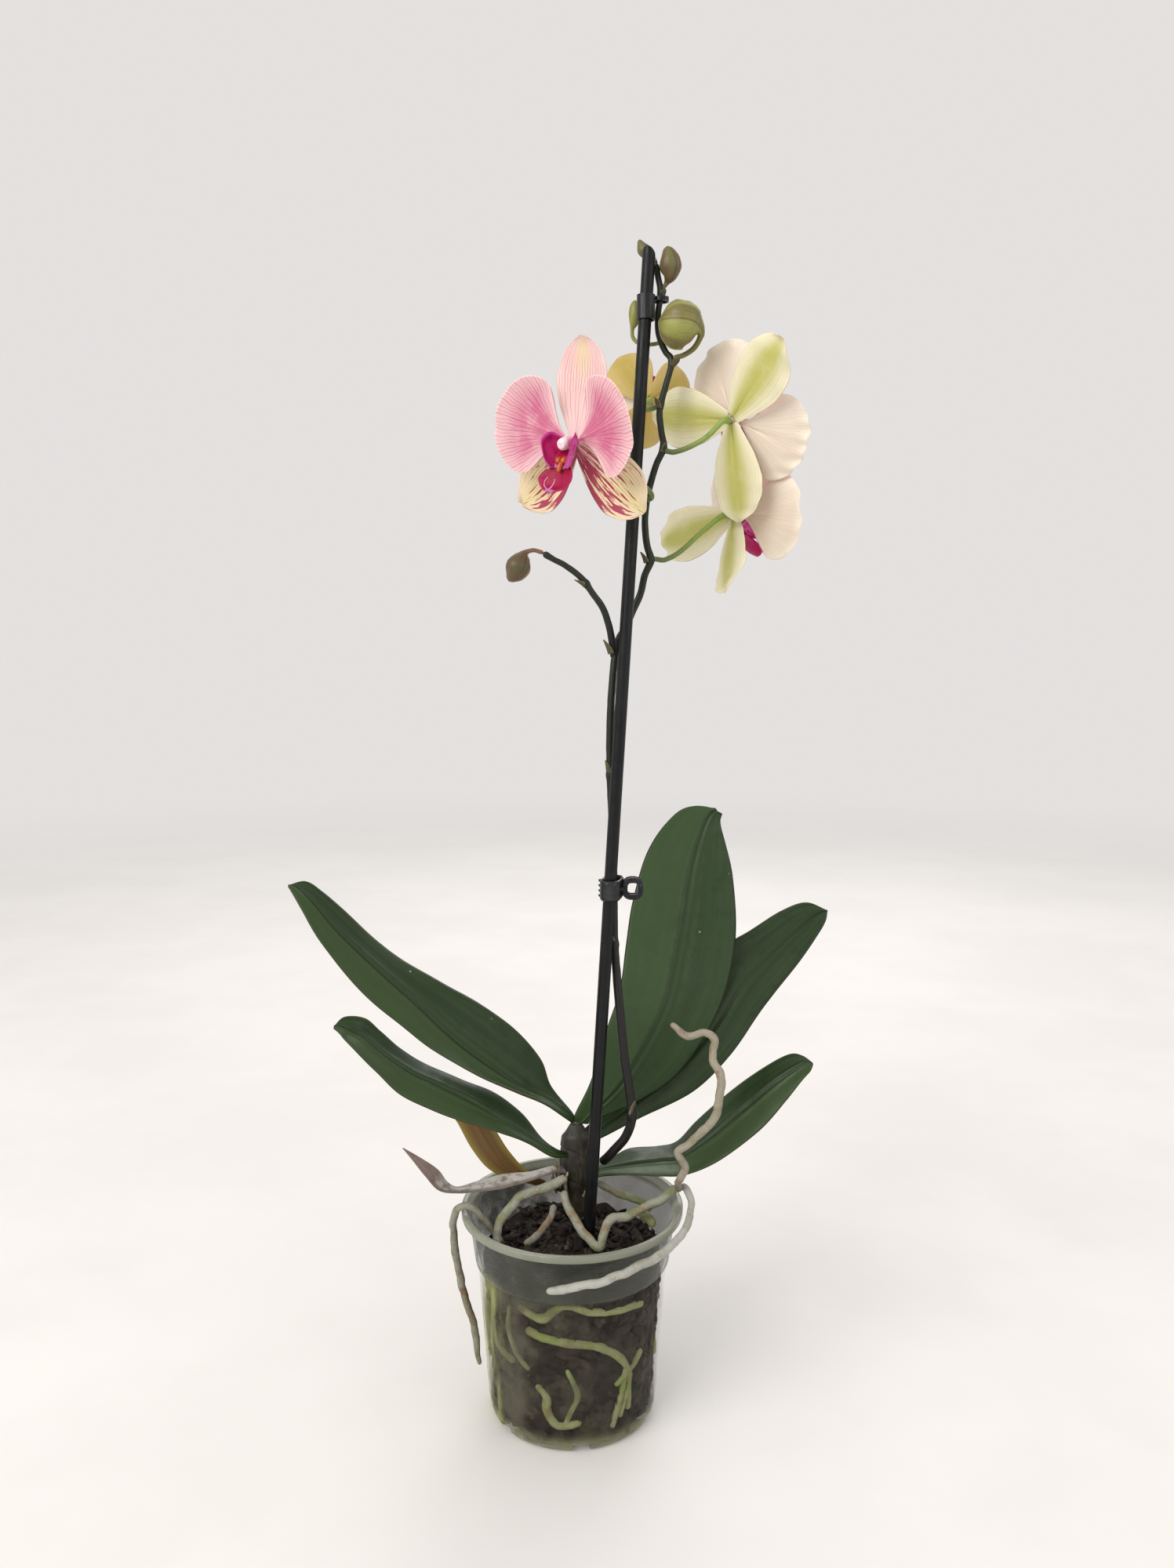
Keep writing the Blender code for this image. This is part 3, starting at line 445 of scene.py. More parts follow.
def petal_skin(name, heart, blush, pale, vein, back, back_tint, count=4.5, stripes=0.0, eye=None):
    """Petal: heart colour at the claw, blush over the middle, pale at the rim, with branching
    veins. eye colours the middle towards the tip. stripes sets streaks and spots, thickest on
    the side next to the lip. The back is waxier, tinted along the middle, with faint veins."""
    f = Finish(name, Sheen_Weight=0.04)
    off_rib, lines = f.size(f.across), f.veins(count, 0.075, 0.42)
    face = f.coats(heart, (f.rise(f.along, 0.04, 0.40), 1, blush),
                   (f.mottle(9.0, 0.45, 0.8), 0.5, pale), (f.rim(0.52), 0.75, pale),
                   (f.rim(0.93), 1, shade(pale, 1.1)))
    if eye:
        middle = f.times(f.rise(off_rib, 0.55, 0.10), f.rise(f.along, 0.42, 0.86))
        face = f.coats(face, (middle, 0.6, eye))
    face = f.coats(face, (lines, f.rise(f.rim(0.55), 0.0, 1.0, 0.88, 0.45), vein))
    if stripes:
        inner = f.times(f.rise(f.across, -0.45, 0.45), f.rise(f.along, 1.02, 0.70), 0.13)
        level = f.plus(f.streaks(10.0, 3.2, 1.0, 2.5), inner,
                       f.rise(f.along, 0.55, 0.15, 0.0, 0.06))
        dots = f.times(f.speckle(1.5, 0.60, 0.42), f.rise(f.along, 0.80, 0.40),
                       f.rise(f.across, -0.6, 0.1))
        marks = f.maths("MAXIMUM", f.rise(level, 0.60, 0.645), dots)
        face = f.coats(face, (marks, stripes, (0.32, 0.003, 0.055)))
    rear = f.coats(back, (f.rise(off_rib, 0.80, 0.12), 1, back_tint),
                   (f.mottle(8.0, 0.45, 0.85), 0.35, back), (lines, 0.14, shade(back_tint, 0.6)),
                   (f.rim(0.80), 0.7, shade(back, 1.10)))
    height = f.plus(f.times(lines, -0.9), f.grain(0.5))
    return f.done(f.mix(f.side, rear, face), f.patchy(4.0, 0.48, 0.62), height, 0.07)


def root_skin(name, silver, green, brown, moss=0.4):
    """Root: chalky silver skin over green, brown scars, pale flecks, mossy patches, brown tip."""
    f = Finish(name, Specular_IOR_Level=0.3)
    skin = f.coats(silver, (f.mottle(13.0, 0.42, 0.66), 1, green),
                   (f.mottle(9.0, 0.52, 0.66), 0.8, brown),
                   (f.speckle(1.6, 0.35, 0.35), 0.35, shade(silver, 1.35)),
                   (f.mottle(11.0, 0.55, 0.7), moss, shade(green, 0.7, 0.9, 0.6)),
                   (f.rise(f.along, 0.955, 1.0, 0.0, 0.7), 1, shade(brown, 1.5, 1.4, 1.0)))
    height = f.plus(f.grain(1.6), f.times(f.mottle(1.1, 0.3, 0.7), 0.4))
    return f.done(skin, f.patchy(3.0, 0.62, 0.85), height, 0.35)


def stem_skin(name, green, purple, pale, split=0.45):
    """Flower stem: purple-black low down, green past the split, fine flecks."""
    f = Finish(name, Specular_IOR_Level=0.35)
    skin = f.coats(purple, (f.rise(f.along, split - 0.35, split + 0.25), 1, green),
                   (f.mottle(5.0, 0.5, 0.75), 0.6, purple),
                   (f.speckle(1.4, 0.25, 0.35), 0.45, pale))
    return f.done(skin, f.patchy(6.0, 0.34, 0.5), f.grain(0.8), 0.06)


def bud_skin(name, green, blush, seam_dark):
    """Bud: waxy green banded with blush lengthwise, fine streaks, dark lines in its seams."""
    f = Finish(name, Specular_IOR_Level=0.4)
    band, fine = f.streaks(2.6, 1.1, 1.0, 2.0, 0.4), f.streaks(23.4, 3.3, 1.0, 2.0, 0.4)
    skin = f.coats(green, (f.rise(band, 0.42, 0.62), 1, blush),
                   (f.rise(fine, 0.50, 0.75, 0.0, 0.35), 1, seam_dark),
                   (f.rise(f.along, 0.85, 1.0, 0.0, 0.6), 1, blush),
                   (f.rise(f.side, 0.5, 1.0, 0.0, 0.8), 1, seam_dark))
    return f.done(skin, f.patchy(5.0, 0.36, 0.52), f.grain(0.9), 0.08)


def pot_plastic():
    """Cloudy clear plastic: haze in patches, scale marks, a green film low on the front left, a
    denser rim and foot, a collar band painted dark and dense as painted shade for the dim inside,
    fine steps round the collar and fine scratches. Places are in metres."""
    f = Finish("cloudy_pot_plastic", Specular_IOR_Level=0.6)
    x, y, z = f.split(f.place)
    haze = f.times(f.mottle(22.0, 0.35, 0.72), f.rise(x, 0.030, -0.030, 0.45, 1.0))
    film = f.times(f.rise(x, -0.033, -0.041), f.mottle(9.0, 0.36, 0.60, (1.0, 1.0, 0.14)),
                   f.rise(z, 0.092, 0.080), f.rise(y, 0.0, -0.014, 0.16, 1.0))
    foot = f.times(f.rise(z, 0.012, 0.003), f.mottle(6.0, 0.20, 0.5))
    # painted shade: the collar band is painted dark and made denser for the shade inside the pot;
    # the same band also carries the fine steps
    rim, collar = f.rise(z, 0.1085, 0.1105), f.rise(z, 0.0835, 0.0860)
    colour = f.coats((0.062, 0.058, 0.036), (haze, 1, (0.135, 0.122, 0.078)),
                     (collar, 0.9, (0.030, 0.036, 0.024)), (foot, 0.85, (0.30, 0.31, 0.155)),
                     (film, 1, (0.29, 0.33, 0.070)), (rim, 1, (0.235, 0.245, 0.185)))
    alpha = f.plus(f.rise(haze, 0.0, 1.0, 0.05, 0.36), f.times(film, 0.38),
                   f.times(collar, 0.52), f.times(foot, 0.40), f.times(rim, 0.25),
                   f.times(f.speckle(2.6, 0.20, 0.30), 0.12))
    steps = f.times(f.maths("SINE", f.times(z, 3900.0)), collar, 0.8)
    height = f.plus(f.mottle(3.0, 0.5, 0.6, (1.0, 1.0, 9.0)), steps)
    return f.done(colour, f.rise(haze, 0.0, 1.0, 0.18, 0.36), height, 0.03,
                  f.maths("MINIMUM", alpha, 0.93))


def bark_skin():
    """Damp bark: near-black brown to grey-brown chips, each with its own shade from its marks,
    corky flecks and moss."""
    f = Finish("damp_bark", Specular_IOR_Level=0.25)
    brown = f.coats((0.006, 0.005, 0.005), (f.across, 1, (0.048, 0.033, 0.026)),
                    (f.rise(f.along, 0.86, 1.0, 0.0, 0.7), 1, (0.13, 0.100, 0.070)),
                    (f.mottle(2.2, 0.45, 0.7), 0.6, (0.022, 0.016, 0.011)),
                    (f.mottle(16.0, 0.58, 0.72), 0.45, (0.075, 0.080, 0.024)))
    return f.done(brown, f.patchy(4.0, 0.72, 0.95), f.grain(1.3), 0.5)


def dark_plastic(name, colour, worn, rough):
    """Moulded plastic: near-black with dull rubbed patches and fine scratches."""
    f = Finish(name, Specular_IOR_Level=0.25)
    scratch = f.mottle(1.2, 0.56, 0.62, (1.0, 1.0, 0.08))
    skin = f.coats(colour, (f.mottle(12.0, 0.45, 0.75), 0.6, worn), (scratch, 0.25, worn))
    return f.done(skin, f.patchy(8.0, rough, rough + 0.14), scratch, 0.03)


def withered(name, base, dark, light, rough=0.7, under=None, edge=None, tip=None):
    """Dried leaf: papery, streaked lengthwise, darker in the folds and on the lower side."""
    f = Finish(name, Specular_IOR_Level=0.3)
    fibre = f.streaks(14.0, 0.6, 2.0, 5.0)
    skin = f.coats(base, (f.rise(fibre, 0.35, 0.65), 1, light),
                   (f.mottle(6.0, 0.45, 0.7), 0.8, dark))
    if tip:
        skin = f.coats(skin, (f.rise(f.across, 0.25, 0.85), 0.85, dark),
                       (f.rise(f.along, 0.60, 0.72, 0.0, 0.85), 1, tip))
    under = under or shade(dark, 0.6)
    low = f.coats(under, (f.rise(fibre, 0.40, 0.65, 0.0, 0.5), 1, shade(under, 1.8)),
                  (f.rim(0.45), 0.8, edge or dark))
    return f.done(f.mix(f.side, low, skin), rough, f.plus(fibre, f.grain(1.2)), 0.25)


def lip_skin(name, face, deep, back, tip):
    """Lip: velvety, deepest in the throat, another colour on the lower side and at the tip,
    a paler rim, and fine streaks."""
    f = Finish(name, Sheen_Weight=0.03, Specular_IOR_Level=0.22)
    red = f.coats(face, (f.rise(f.along, 0.55, 0.05), 1, deep),
                  (f.mottle(3.0, 0.4, 0.7), 1, shade(face, 0.75)),
                  (f.veins(4.0, 0.10, 0.4), 0.45, deep))
    red = f.coats(f.mix(f.mottle(3.5, 0.4, 0.7), back, face), (f.side, 1, red),
                  (f.rim(0.84), 0.45, back), (f.rise(f.along, 0.84, 0.97), 1, tip))
    return f.done(red, f.patchy(2.5, 0.34, 0.50), f.grain(0.6), 0.08)


def wax_skin(name, base, tint, spots, amount):
    """Waxy column or callus: one base colour, a tint in clouds, and small spots."""
    f = Finish(name, Coat_Weight=0.2)
    skin = f.coats(base, (f.mottle(3.0, 0.4, 0.7), 1, tint),
                   (f.speckle(1.1, amount, 0.45), 0.8, spots))
    return f.done(skin, f.patchy(2.0, 0.30, 0.45), f.grain(0.5), 0.05)


# ------------------------------------------------------------------ pot and bark
def wall_r(z):
    """Outer radius of the pot's lower wall: straight taper from foot to collar."""
    return BASE_R + (WALL_TOP_R - BASE_R) * z / COLLAR_LOW_Z


def inner_r(z):
    """Inner radius of the pot at a height: the wall less its thickness, then the collar."""
    share = (z - COLLAR_LOW_Z) / (POT_H - COLLAR_LOW_Z)
    collar = WALL_TOP_R - WALL + (COLLAR_TOP_R - WALL_TOP_R) * share
    return np.where(z <= COLLAR_LOW_Z, wall_r(z) - WALL, collar)


def bark_r(z):
    """Inner radius where the bark is: the wall's own, and no wider inside the collar."""
    return np.minimum(inner_r(z), inner_r(COLLAR_LOW_Z - 1))


def bark_top(x, y):
    """Height of the bark: two sets of crossing waves, rising slightly to the wall."""
    waves = 1.6 * np.sin(x / 5.1 + 1) * np.cos(y / 4.3) + 1.2 * np.sin(x / 3.0 - y / 3.7)
    return BARK_TOP_Z + waves + 0.0006 * (x * x + y * y)


def fill_in(profile, step):
    """A profile with extra points on its straight runs, how far along each of them is, and how
    far along the profile's own points are."""
    p = np.asarray(profile, float)
    far = np.r_[0, np.cumsum(np.linalg.norm(np.diff(p, axis=0), axis=1))]
    at = np.unique(np.round(np.r_[far, np.arange(0, far[-1], step)], 6))
    return np.stack([np.interp(at, far, p[:, k]) for k in (0, 1)], 1), at, far


def pot_profile():
    """Radius and height from the floor's middle, up the inside, over the rim, down the outside
    and back along the underside."""
    inside = [(inner_r(z), z) for z in (SLOT_H, 8.0, 40.0, COLLAR_LOW_Z, POT_H - 3)]
    lip = [(RIM_R - 3.4, -0.9), (RIM_R - 3.0, -0.3), (RIM_R - 2.4, 0), (RIM_R - 0.8, 0),
           (RIM_R - 0.2, -0.3), (RIM_R, -0.9), (RIM_R - 0.1, 0.4 - LIP_H), (RIM_R - 0.6, -LIP_H),
           (COLLAR_TOP_R + 0.5, -LIP_H), (COLLAR_TOP_R - 0.1, -LIP_H - 0.6)]
    return [(AXIS_R, FLOOR), (BASE_R - 8.0, FLOOR), (BASE_R - 6.0, FLOOR),
            (BASE_R - 3.0, FLOOR + 1.2), *inside, *[(r, POT_H + z) for r, z in lip],
            (COLLAR_LOW_R + 0.1, COLLAR_LOW_Z + 1.4), (COLLAR_LOW_R - 0.3, COLLAR_LOW_Z + 0.5),
            (WALL_TOP_R + 0.1, COLLAR_LOW_Z), (wall_r(40.0), 40.0), (wall_r(11.2), 11.2),
            (wall_r(10.2) - 0.5, 10.2), (wall_r(SLOT_H) - 0.5, SLOT_H),
            (BASE_R - 0.6, BASE_CORNER), (BASE_R - 1.2, 2.0), (BASE_R - 2.0, 1.0),
            (BASE_R - BASE_CORNER, 0.0), (BASE_R - 8.0, 0.0), (AXIS_R, 0.0)]


def grower_pot():
    """The profile turned about Z. Radius = profile + wobble(height, turn), and fine rings inside
    the collar. Where a drain slot is, the profile's low corner is left out: the wall is closed
    above it, the floor behind it, and the corner's own outline closes each side."""
    line, at, far = fill_in(pot_profile(), 1.5)
    low_in, high_in, high_out, low_out = (int(np.argmin(np.abs(at - far[k])))
                                          for k in SLOT_STOPS)
    half = math.asin(SLOT_W / 2 / (BASE_R - 3))
    wedge = TAU / SLOTS
    cuts = np.r_[np.linspace(-half, half, SLOT_CELLS + 1)[:-1],
                 np.linspace(half, wedge - half, WALL_CELLS + 1)[:-1]]
    turn = (wedge * (np.arange(SLOTS)[:, None] + SLOT_TURN) + cuts[None]).ravel()
    in_slot = np.tile(np.arange(len(cuts)) < SLOT_CELLS, SLOTS)
    r, z = line[:, :1], line[:, 1:]
    wobble = (0.22 * np.sin(2 * turn + 0.6) * ease(z, 20, 110)
              + 0.12 * np.sin(5 * turn) * ease(z, 30, 80))
    inside = (np.arange(len(line)) < len(line) * 0.47)[:, None]
    rings_in = 0.16 * np.sin(z * TAU / 2.1) * ease(z, 88, 91) * ease(z, 112, 110) * inside
    points = about_z(np.maximum(r + (wobble + rings_in) * (r > 10), AXIS_R), turn, z)
    n, m = len(line), len(turn)
    i, j = np.arange(n - 1)[:, None] * m, np.arange(m)[None]
    quads = np.stack([i + j, i + (j + 1) % m, i + m + (j + 1) % m, i + m + j], -1)
    row = np.arange(n - 1)
    cut_rows = ((row >= low_in) & (row < high_in)) | ((row >= high_out) & (row < low_out))
    kept = quads[~(cut_rows[:, None] & in_slot[None])]
    cells = np.nonzero(in_slot)[0]
    after = (cells + 1) % m
    above = np.stack([high_in * m + cells, high_in * m + after, high_out * m + after,
                      high_out * m + cells], 1)
    behind = np.stack([low_out * m + after, low_out * m + cells, low_in * m + cells,
                       low_in * m + after], 1)
    outline = np.r_[np.arange(low_in, high_in + 1), np.arange(high_out, low_out + 1)]
    first = np.nonzero(in_slot & ~np.roll(in_slot, 1))[0]
    last = (np.nonzero(in_slot & ~np.roll(in_slot, -1))[0] + 1) % m
    walls = [(outline * m + k).tolist() for k in first] + [
        (outline[::-1] * m + k).tolist() for k in last]
    mesh = bpy.data.meshes.new("grower_pot")
    mesh.from_pydata((points.reshape(-1, 3) * MM).tolist(), [],
                     kept.tolist() + above.tolist() + behind.tolist() + walls)
    settle_normals(mesh)
    place("grower_pot", mesh, pot_plastic(), "clear_plastic", ["pot"])


def settle_normals(mesh):
    """Merges the turned poles, points every face outwards and shades softly, apart from edges
    sharper than SOFT_EDGE."""
    made = bmesh.new()
    made.from_mesh(mesh)
    bmesh.ops.remove_doubles(made, verts=made.verts, dist=0.004 * MM)
    bmesh.ops.recalc_face_normals(made, faces=made.faces)
    for face in made.faces:
        face.smooth = True
    for edge in made.edges:
        edge.smooth = edge.calc_face_angle(0.0) < SOFT_EDGE
    made.to_mesh(mesh)
    made.free()


def bark_plug():
    """Rings of a lumpy plug: reach = inner radius less a gap plus lumps, drawn in at the foot,
    then rings that close over the top along the bark's own waves."""
    turn = TAU * np.arange(160) / 160
    z = np.linspace(BARK_LOW_Z, BARK_SIDE_Z, 70)[:, None]
    reach = bark_r(z) - BARK_GAP - 5 * ease(z, 6, 2)
    flat = about_z(reach, turn, z)
    side = about_z(reach + 0.9 * lumps(flat, 9, 3) + 0.5 * lumps(flat, 4, 4), turn, z)
    share = np.array([0.93, 0.85, 0.75, 0.65, 0.55, 0.45, 0.35, 0.25, 0.15, 0.06])[:, None]
    top = about_z((bark_r(BARK_TOP_Z) - BARK_GAP) * share, turn, 0)
    top[..., 2] = bark_top(top[..., 0], top[..., 1]) - 1.6
    top[..., 2] += 0.8 * lumps(top, 6, 5)
    rings = np.concatenate([side, top])
    none = 0 * rings[..., 0]
    return closed(rings, np.stack([0.2 + 0.3 * np.abs(lumps(rings, 7, 6)), none, none], -1))


def bark_chips(places, lean, low, high, seed):
    """Many small chips in one skin: a 3 x 3 x 3 box shell, its corners drawn in and shaken,
    scaled to a size from low to high, turned by its own axes and set in place."""
    rng, count = np.random.default_rng(seed), len(places)
    shell = np.stack(np.meshgrid(*[[-1, 0, 1]] * 3, indexing="ij"), -1).reshape(-1, 3) * 1.0
    number = np.full(27, -1)
    keep = np.abs(shell).max(1) > 0
    number[keep] = np.arange(26)
    quads = []
    for axis, way, a, b in itertools.product(range(3), (0, 2), (0, 1), (0, 1)):
        cell = np.insert([[a, b], [a + 1, b], [a + 1, b + 1], [a, b + 1]], axis, way, 1)
        cell = cell[::-1] if (way == 0) != (axis == 1) else cell
        quads.append(number[cell @ [9, 3, 1]])
    shell = shell[keep] * [1, 1, 0.92]
    shell *= 1 - 0.13 * (np.abs(shell).sum(1, keepdims=True) - 1)
    chips = shell[None] * (1 + 0.24 * rng.normal(size=(count, 26, 1)).clip(-1.5, 1.5))
    low, high = np.array(low), np.array(high)
    chips = chips * (low + (high - low) * rng.random((count, 3)))[:, None]
    points = np.einsum("nvk,nkd->nvd", chips, lean(places, rng)) + places[:, None]
    faces = (np.array(quads)[None] + 26 * np.arange(count)[:, None, None]).reshape(-1, 4)
    shade_marks = np.pad(rng.random((count, 1, 2)), ((0, 0), (0, 0), (0, 1)))
    return [points.reshape(-1, 3), faces, np.zeros((0, 3), int),
            np.repeat(shade_marks, 26, 1).reshape(-1, 3)]


def lie_flat(places, rng):
    """Axes for a chip that lies on the bark with a random heading and a slight tilt."""
    a = rng.uniform(0, TAU, len(places))
    up = unit(np.stack([rng.normal(0, 0.35, len(a)), rng.normal(0, 0.35, len(a)), 0 * a + 1], -1))
    head = unit(np.cross(up, np.stack([np.cos(a), np.sin(a), 0 * a], -1)))
    return np.stack([head, np.cross(up, head), up], 1)


def lie_on_wall(places, rng):
    """Axes for a chip that lies against the wall: its thin way points out from the middle."""
    out = unit(places * [1, 1, 0] + rng.normal(0, 2.5, places.shape))
    a = rng.uniform(0, TAU, len(places))
    flat = unit(np.cross(out, [0, 0, 1.0]))
    tall = np.cross(out, flat)
    head = flat * np.cos(a)[:, None] + tall * np.sin(a)[:, None]
    return np.stack([head, np.cross(out, head), out], 1)


def fill_pot():
    """Plug, chips over the top and chips round the side."""
    rng = np.random.default_rng(11)
    r, a = 42.5 * np.sqrt(rng.random(TOP_CHIPS)), rng.uniform(0, TAU, TOP_CHIPS)
    top = about_z(r, a, 0)
    top[:, 2] = bark_top(top[:, 0], top[:, 1]) - 0.9
    top = top[np.hypot(top[:, 0] - STAKE_FOOT[0], top[:, 1] - STAKE_FOOT[1]) > 8]
    a, z = rng.uniform(0, TAU, WALL_CHIPS), rng.uniform(5.5, 90, WALL_CHIPS)
    wall = about_z(bark_r(z) - rng.uniform(2.0, 3.4, WALL_CHIPS), a, z)
    skin = bark_skin()
    piece("bark_plug", [bark_plug()], skin, "bark", "bark_medium")
    for name, spots, lean, low, high, seed in (
            ("top", top, lie_flat, (1.6, 1.0, 0.5), (4.6, 2.6, 1.3), 12),
            ("wall", wall, lie_on_wall, (1.2, 0.9, 0.5), (4.4, 2.7, 1.2), 13)):
        piece("bark_chips_" + name, [bark_chips(spots, lean, low, high, seed)], skin, "bark")


# ------------------------------------------------------------------ stake and clips
def stake_and_clips():
    """The two clips, and the stake: a straight sweep whose last rings slant, by cut (0.5 cos w +
    0.8 sin w) along its axis. Faint mould lines run down two sides."""
    low, top = np.array(STAKE_LOW), np.array(STAKE_TOP)
    axis = unit(top - low)
    across = unit(np.cross(axis, [0, 1.0, 0]))
    front = np.cross(axis, across)
    w = TAU * np.arange(40) / 40
    share = np.r_[0, 0.003, np.linspace(0.01, 0.99, 60), 0.9975, 0.9992, 1.0]
    r = STAKE_R * np.r_[0.75, 0.97, np.ones(61), 0.985, 0.90][:, None]
    r = r * (1 + 0.025 * (bell(np.cos(w), 1, 0.03) + bell(np.cos(w), -1, 0.03)))
    slant = STAKE_CUT * (0.5 * np.cos(w) + 0.8 * np.sin(w)) * ease(share, 0.96, 1.0)[:, None]
    rings = (low + (top - low) * share[:, None, None]
             + r[..., None] * (across * np.cos(w)[:, None] + front * np.sin(w)[:, None])
             + axis * slant[..., None])
    mark = np.stack(np.broadcast_arrays(np.cos(w)[None], share[:, None], 0 * r), -1)
    piece("plant_stake", [closed(rings, mark)],
          dark_plastic("stake_plastic", (0.0035, 0.0035, 0.004), (0.010, 0.010, 0.011), 0.32),
          "black_stake", "stake")
    clip = dark_plastic("clip_plastic", (0.011, 0.011, 0.013), (0.05, 0.05, 0.055), 0.20)
    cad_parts["clip_upper"].data.materials.clear()
    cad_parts["clip_upper"].data.materials.append(clip)
    piece("clip_lower_body", lower_clip(), clip, "clip_plastic", "clip_lower")


def squared(tall, thin):
    """A section for a sweep: a squared oval of the given half sizes."""
    return lambda w, s: (np.abs(np.cos(w) / tall) ** 6
                         + np.abs(np.sin(w) / thin) ** 6) ** (-1 / 6) + 0 * s


def blunt(c):
    """A cosine or sine with its bulge squared off: |c|^0.72 with the sign of c."""
    return np.sign(c) * np.abs(c) ** 0.72


def lower_clip():
    """The lower clip: an oval band round stake and spike, two open frames joined by a bar, their
    necks, and saw teeth."""
    t, turn = np.linspace(0, TAU * 1.002, 161), math.radians(78)
    x, y = 4.85 * np.cos(t) + 4.9 * np.tanh(5 * np.cos(t)), 4.85 * np.sin(t)
    one = 1 + 0 * t
    band = np.stack([21.2 + x * math.cos(turn) - y * math.sin(turn),
                     2.6 + x * math.sin(turn) + y * math.cos(turn), CLIP_Z * one, one], 1)
    frames = [np.stack([32.2 + 4.2 * blunt(np.cos(t)), depth + 0.21 * np.cos(t),
                        CLIP_Z + 4.5 * blunt(np.sin(t)), one], 1) for depth in CLIP_FRAMES]
    bar = [(36.6, -0.2, CLIP_Z, 1), (36.8, 3, CLIP_Z, 1), (36.6, 6.2, CLIP_Z, 1)]
    necks = [[(x, depth, CLIP_Z, 1) for x in (24.6, 26.6, 28.6)] for depth in CLIP_FRAMES]
    teeth = [[(17.6, 1.6, z, 1.35), (15.6, 1.3, z + 0.2, 1.15), (14, 1.2, z + 0.8, 0.35)]
             for z in CLIP_Z - 4.1 + 2.7 * np.arange(4)]
    return [sweep(band, 48, shape=squared(5.5, 0.65)),
            *[sweep(frame_line, 40, shape=squared(0.85, 1.45)) for frame_line in frames],
            sweep(path(bar, 0.5), 24, shape=squared(2.6, 1.0)),
            *[sweep(path(neck, 0.5), 24, shape=squared(0.9, 3.6)) for neck in necks],
            *[sweep(path(tooth, 0.25), 16) for tooth in teeth]]


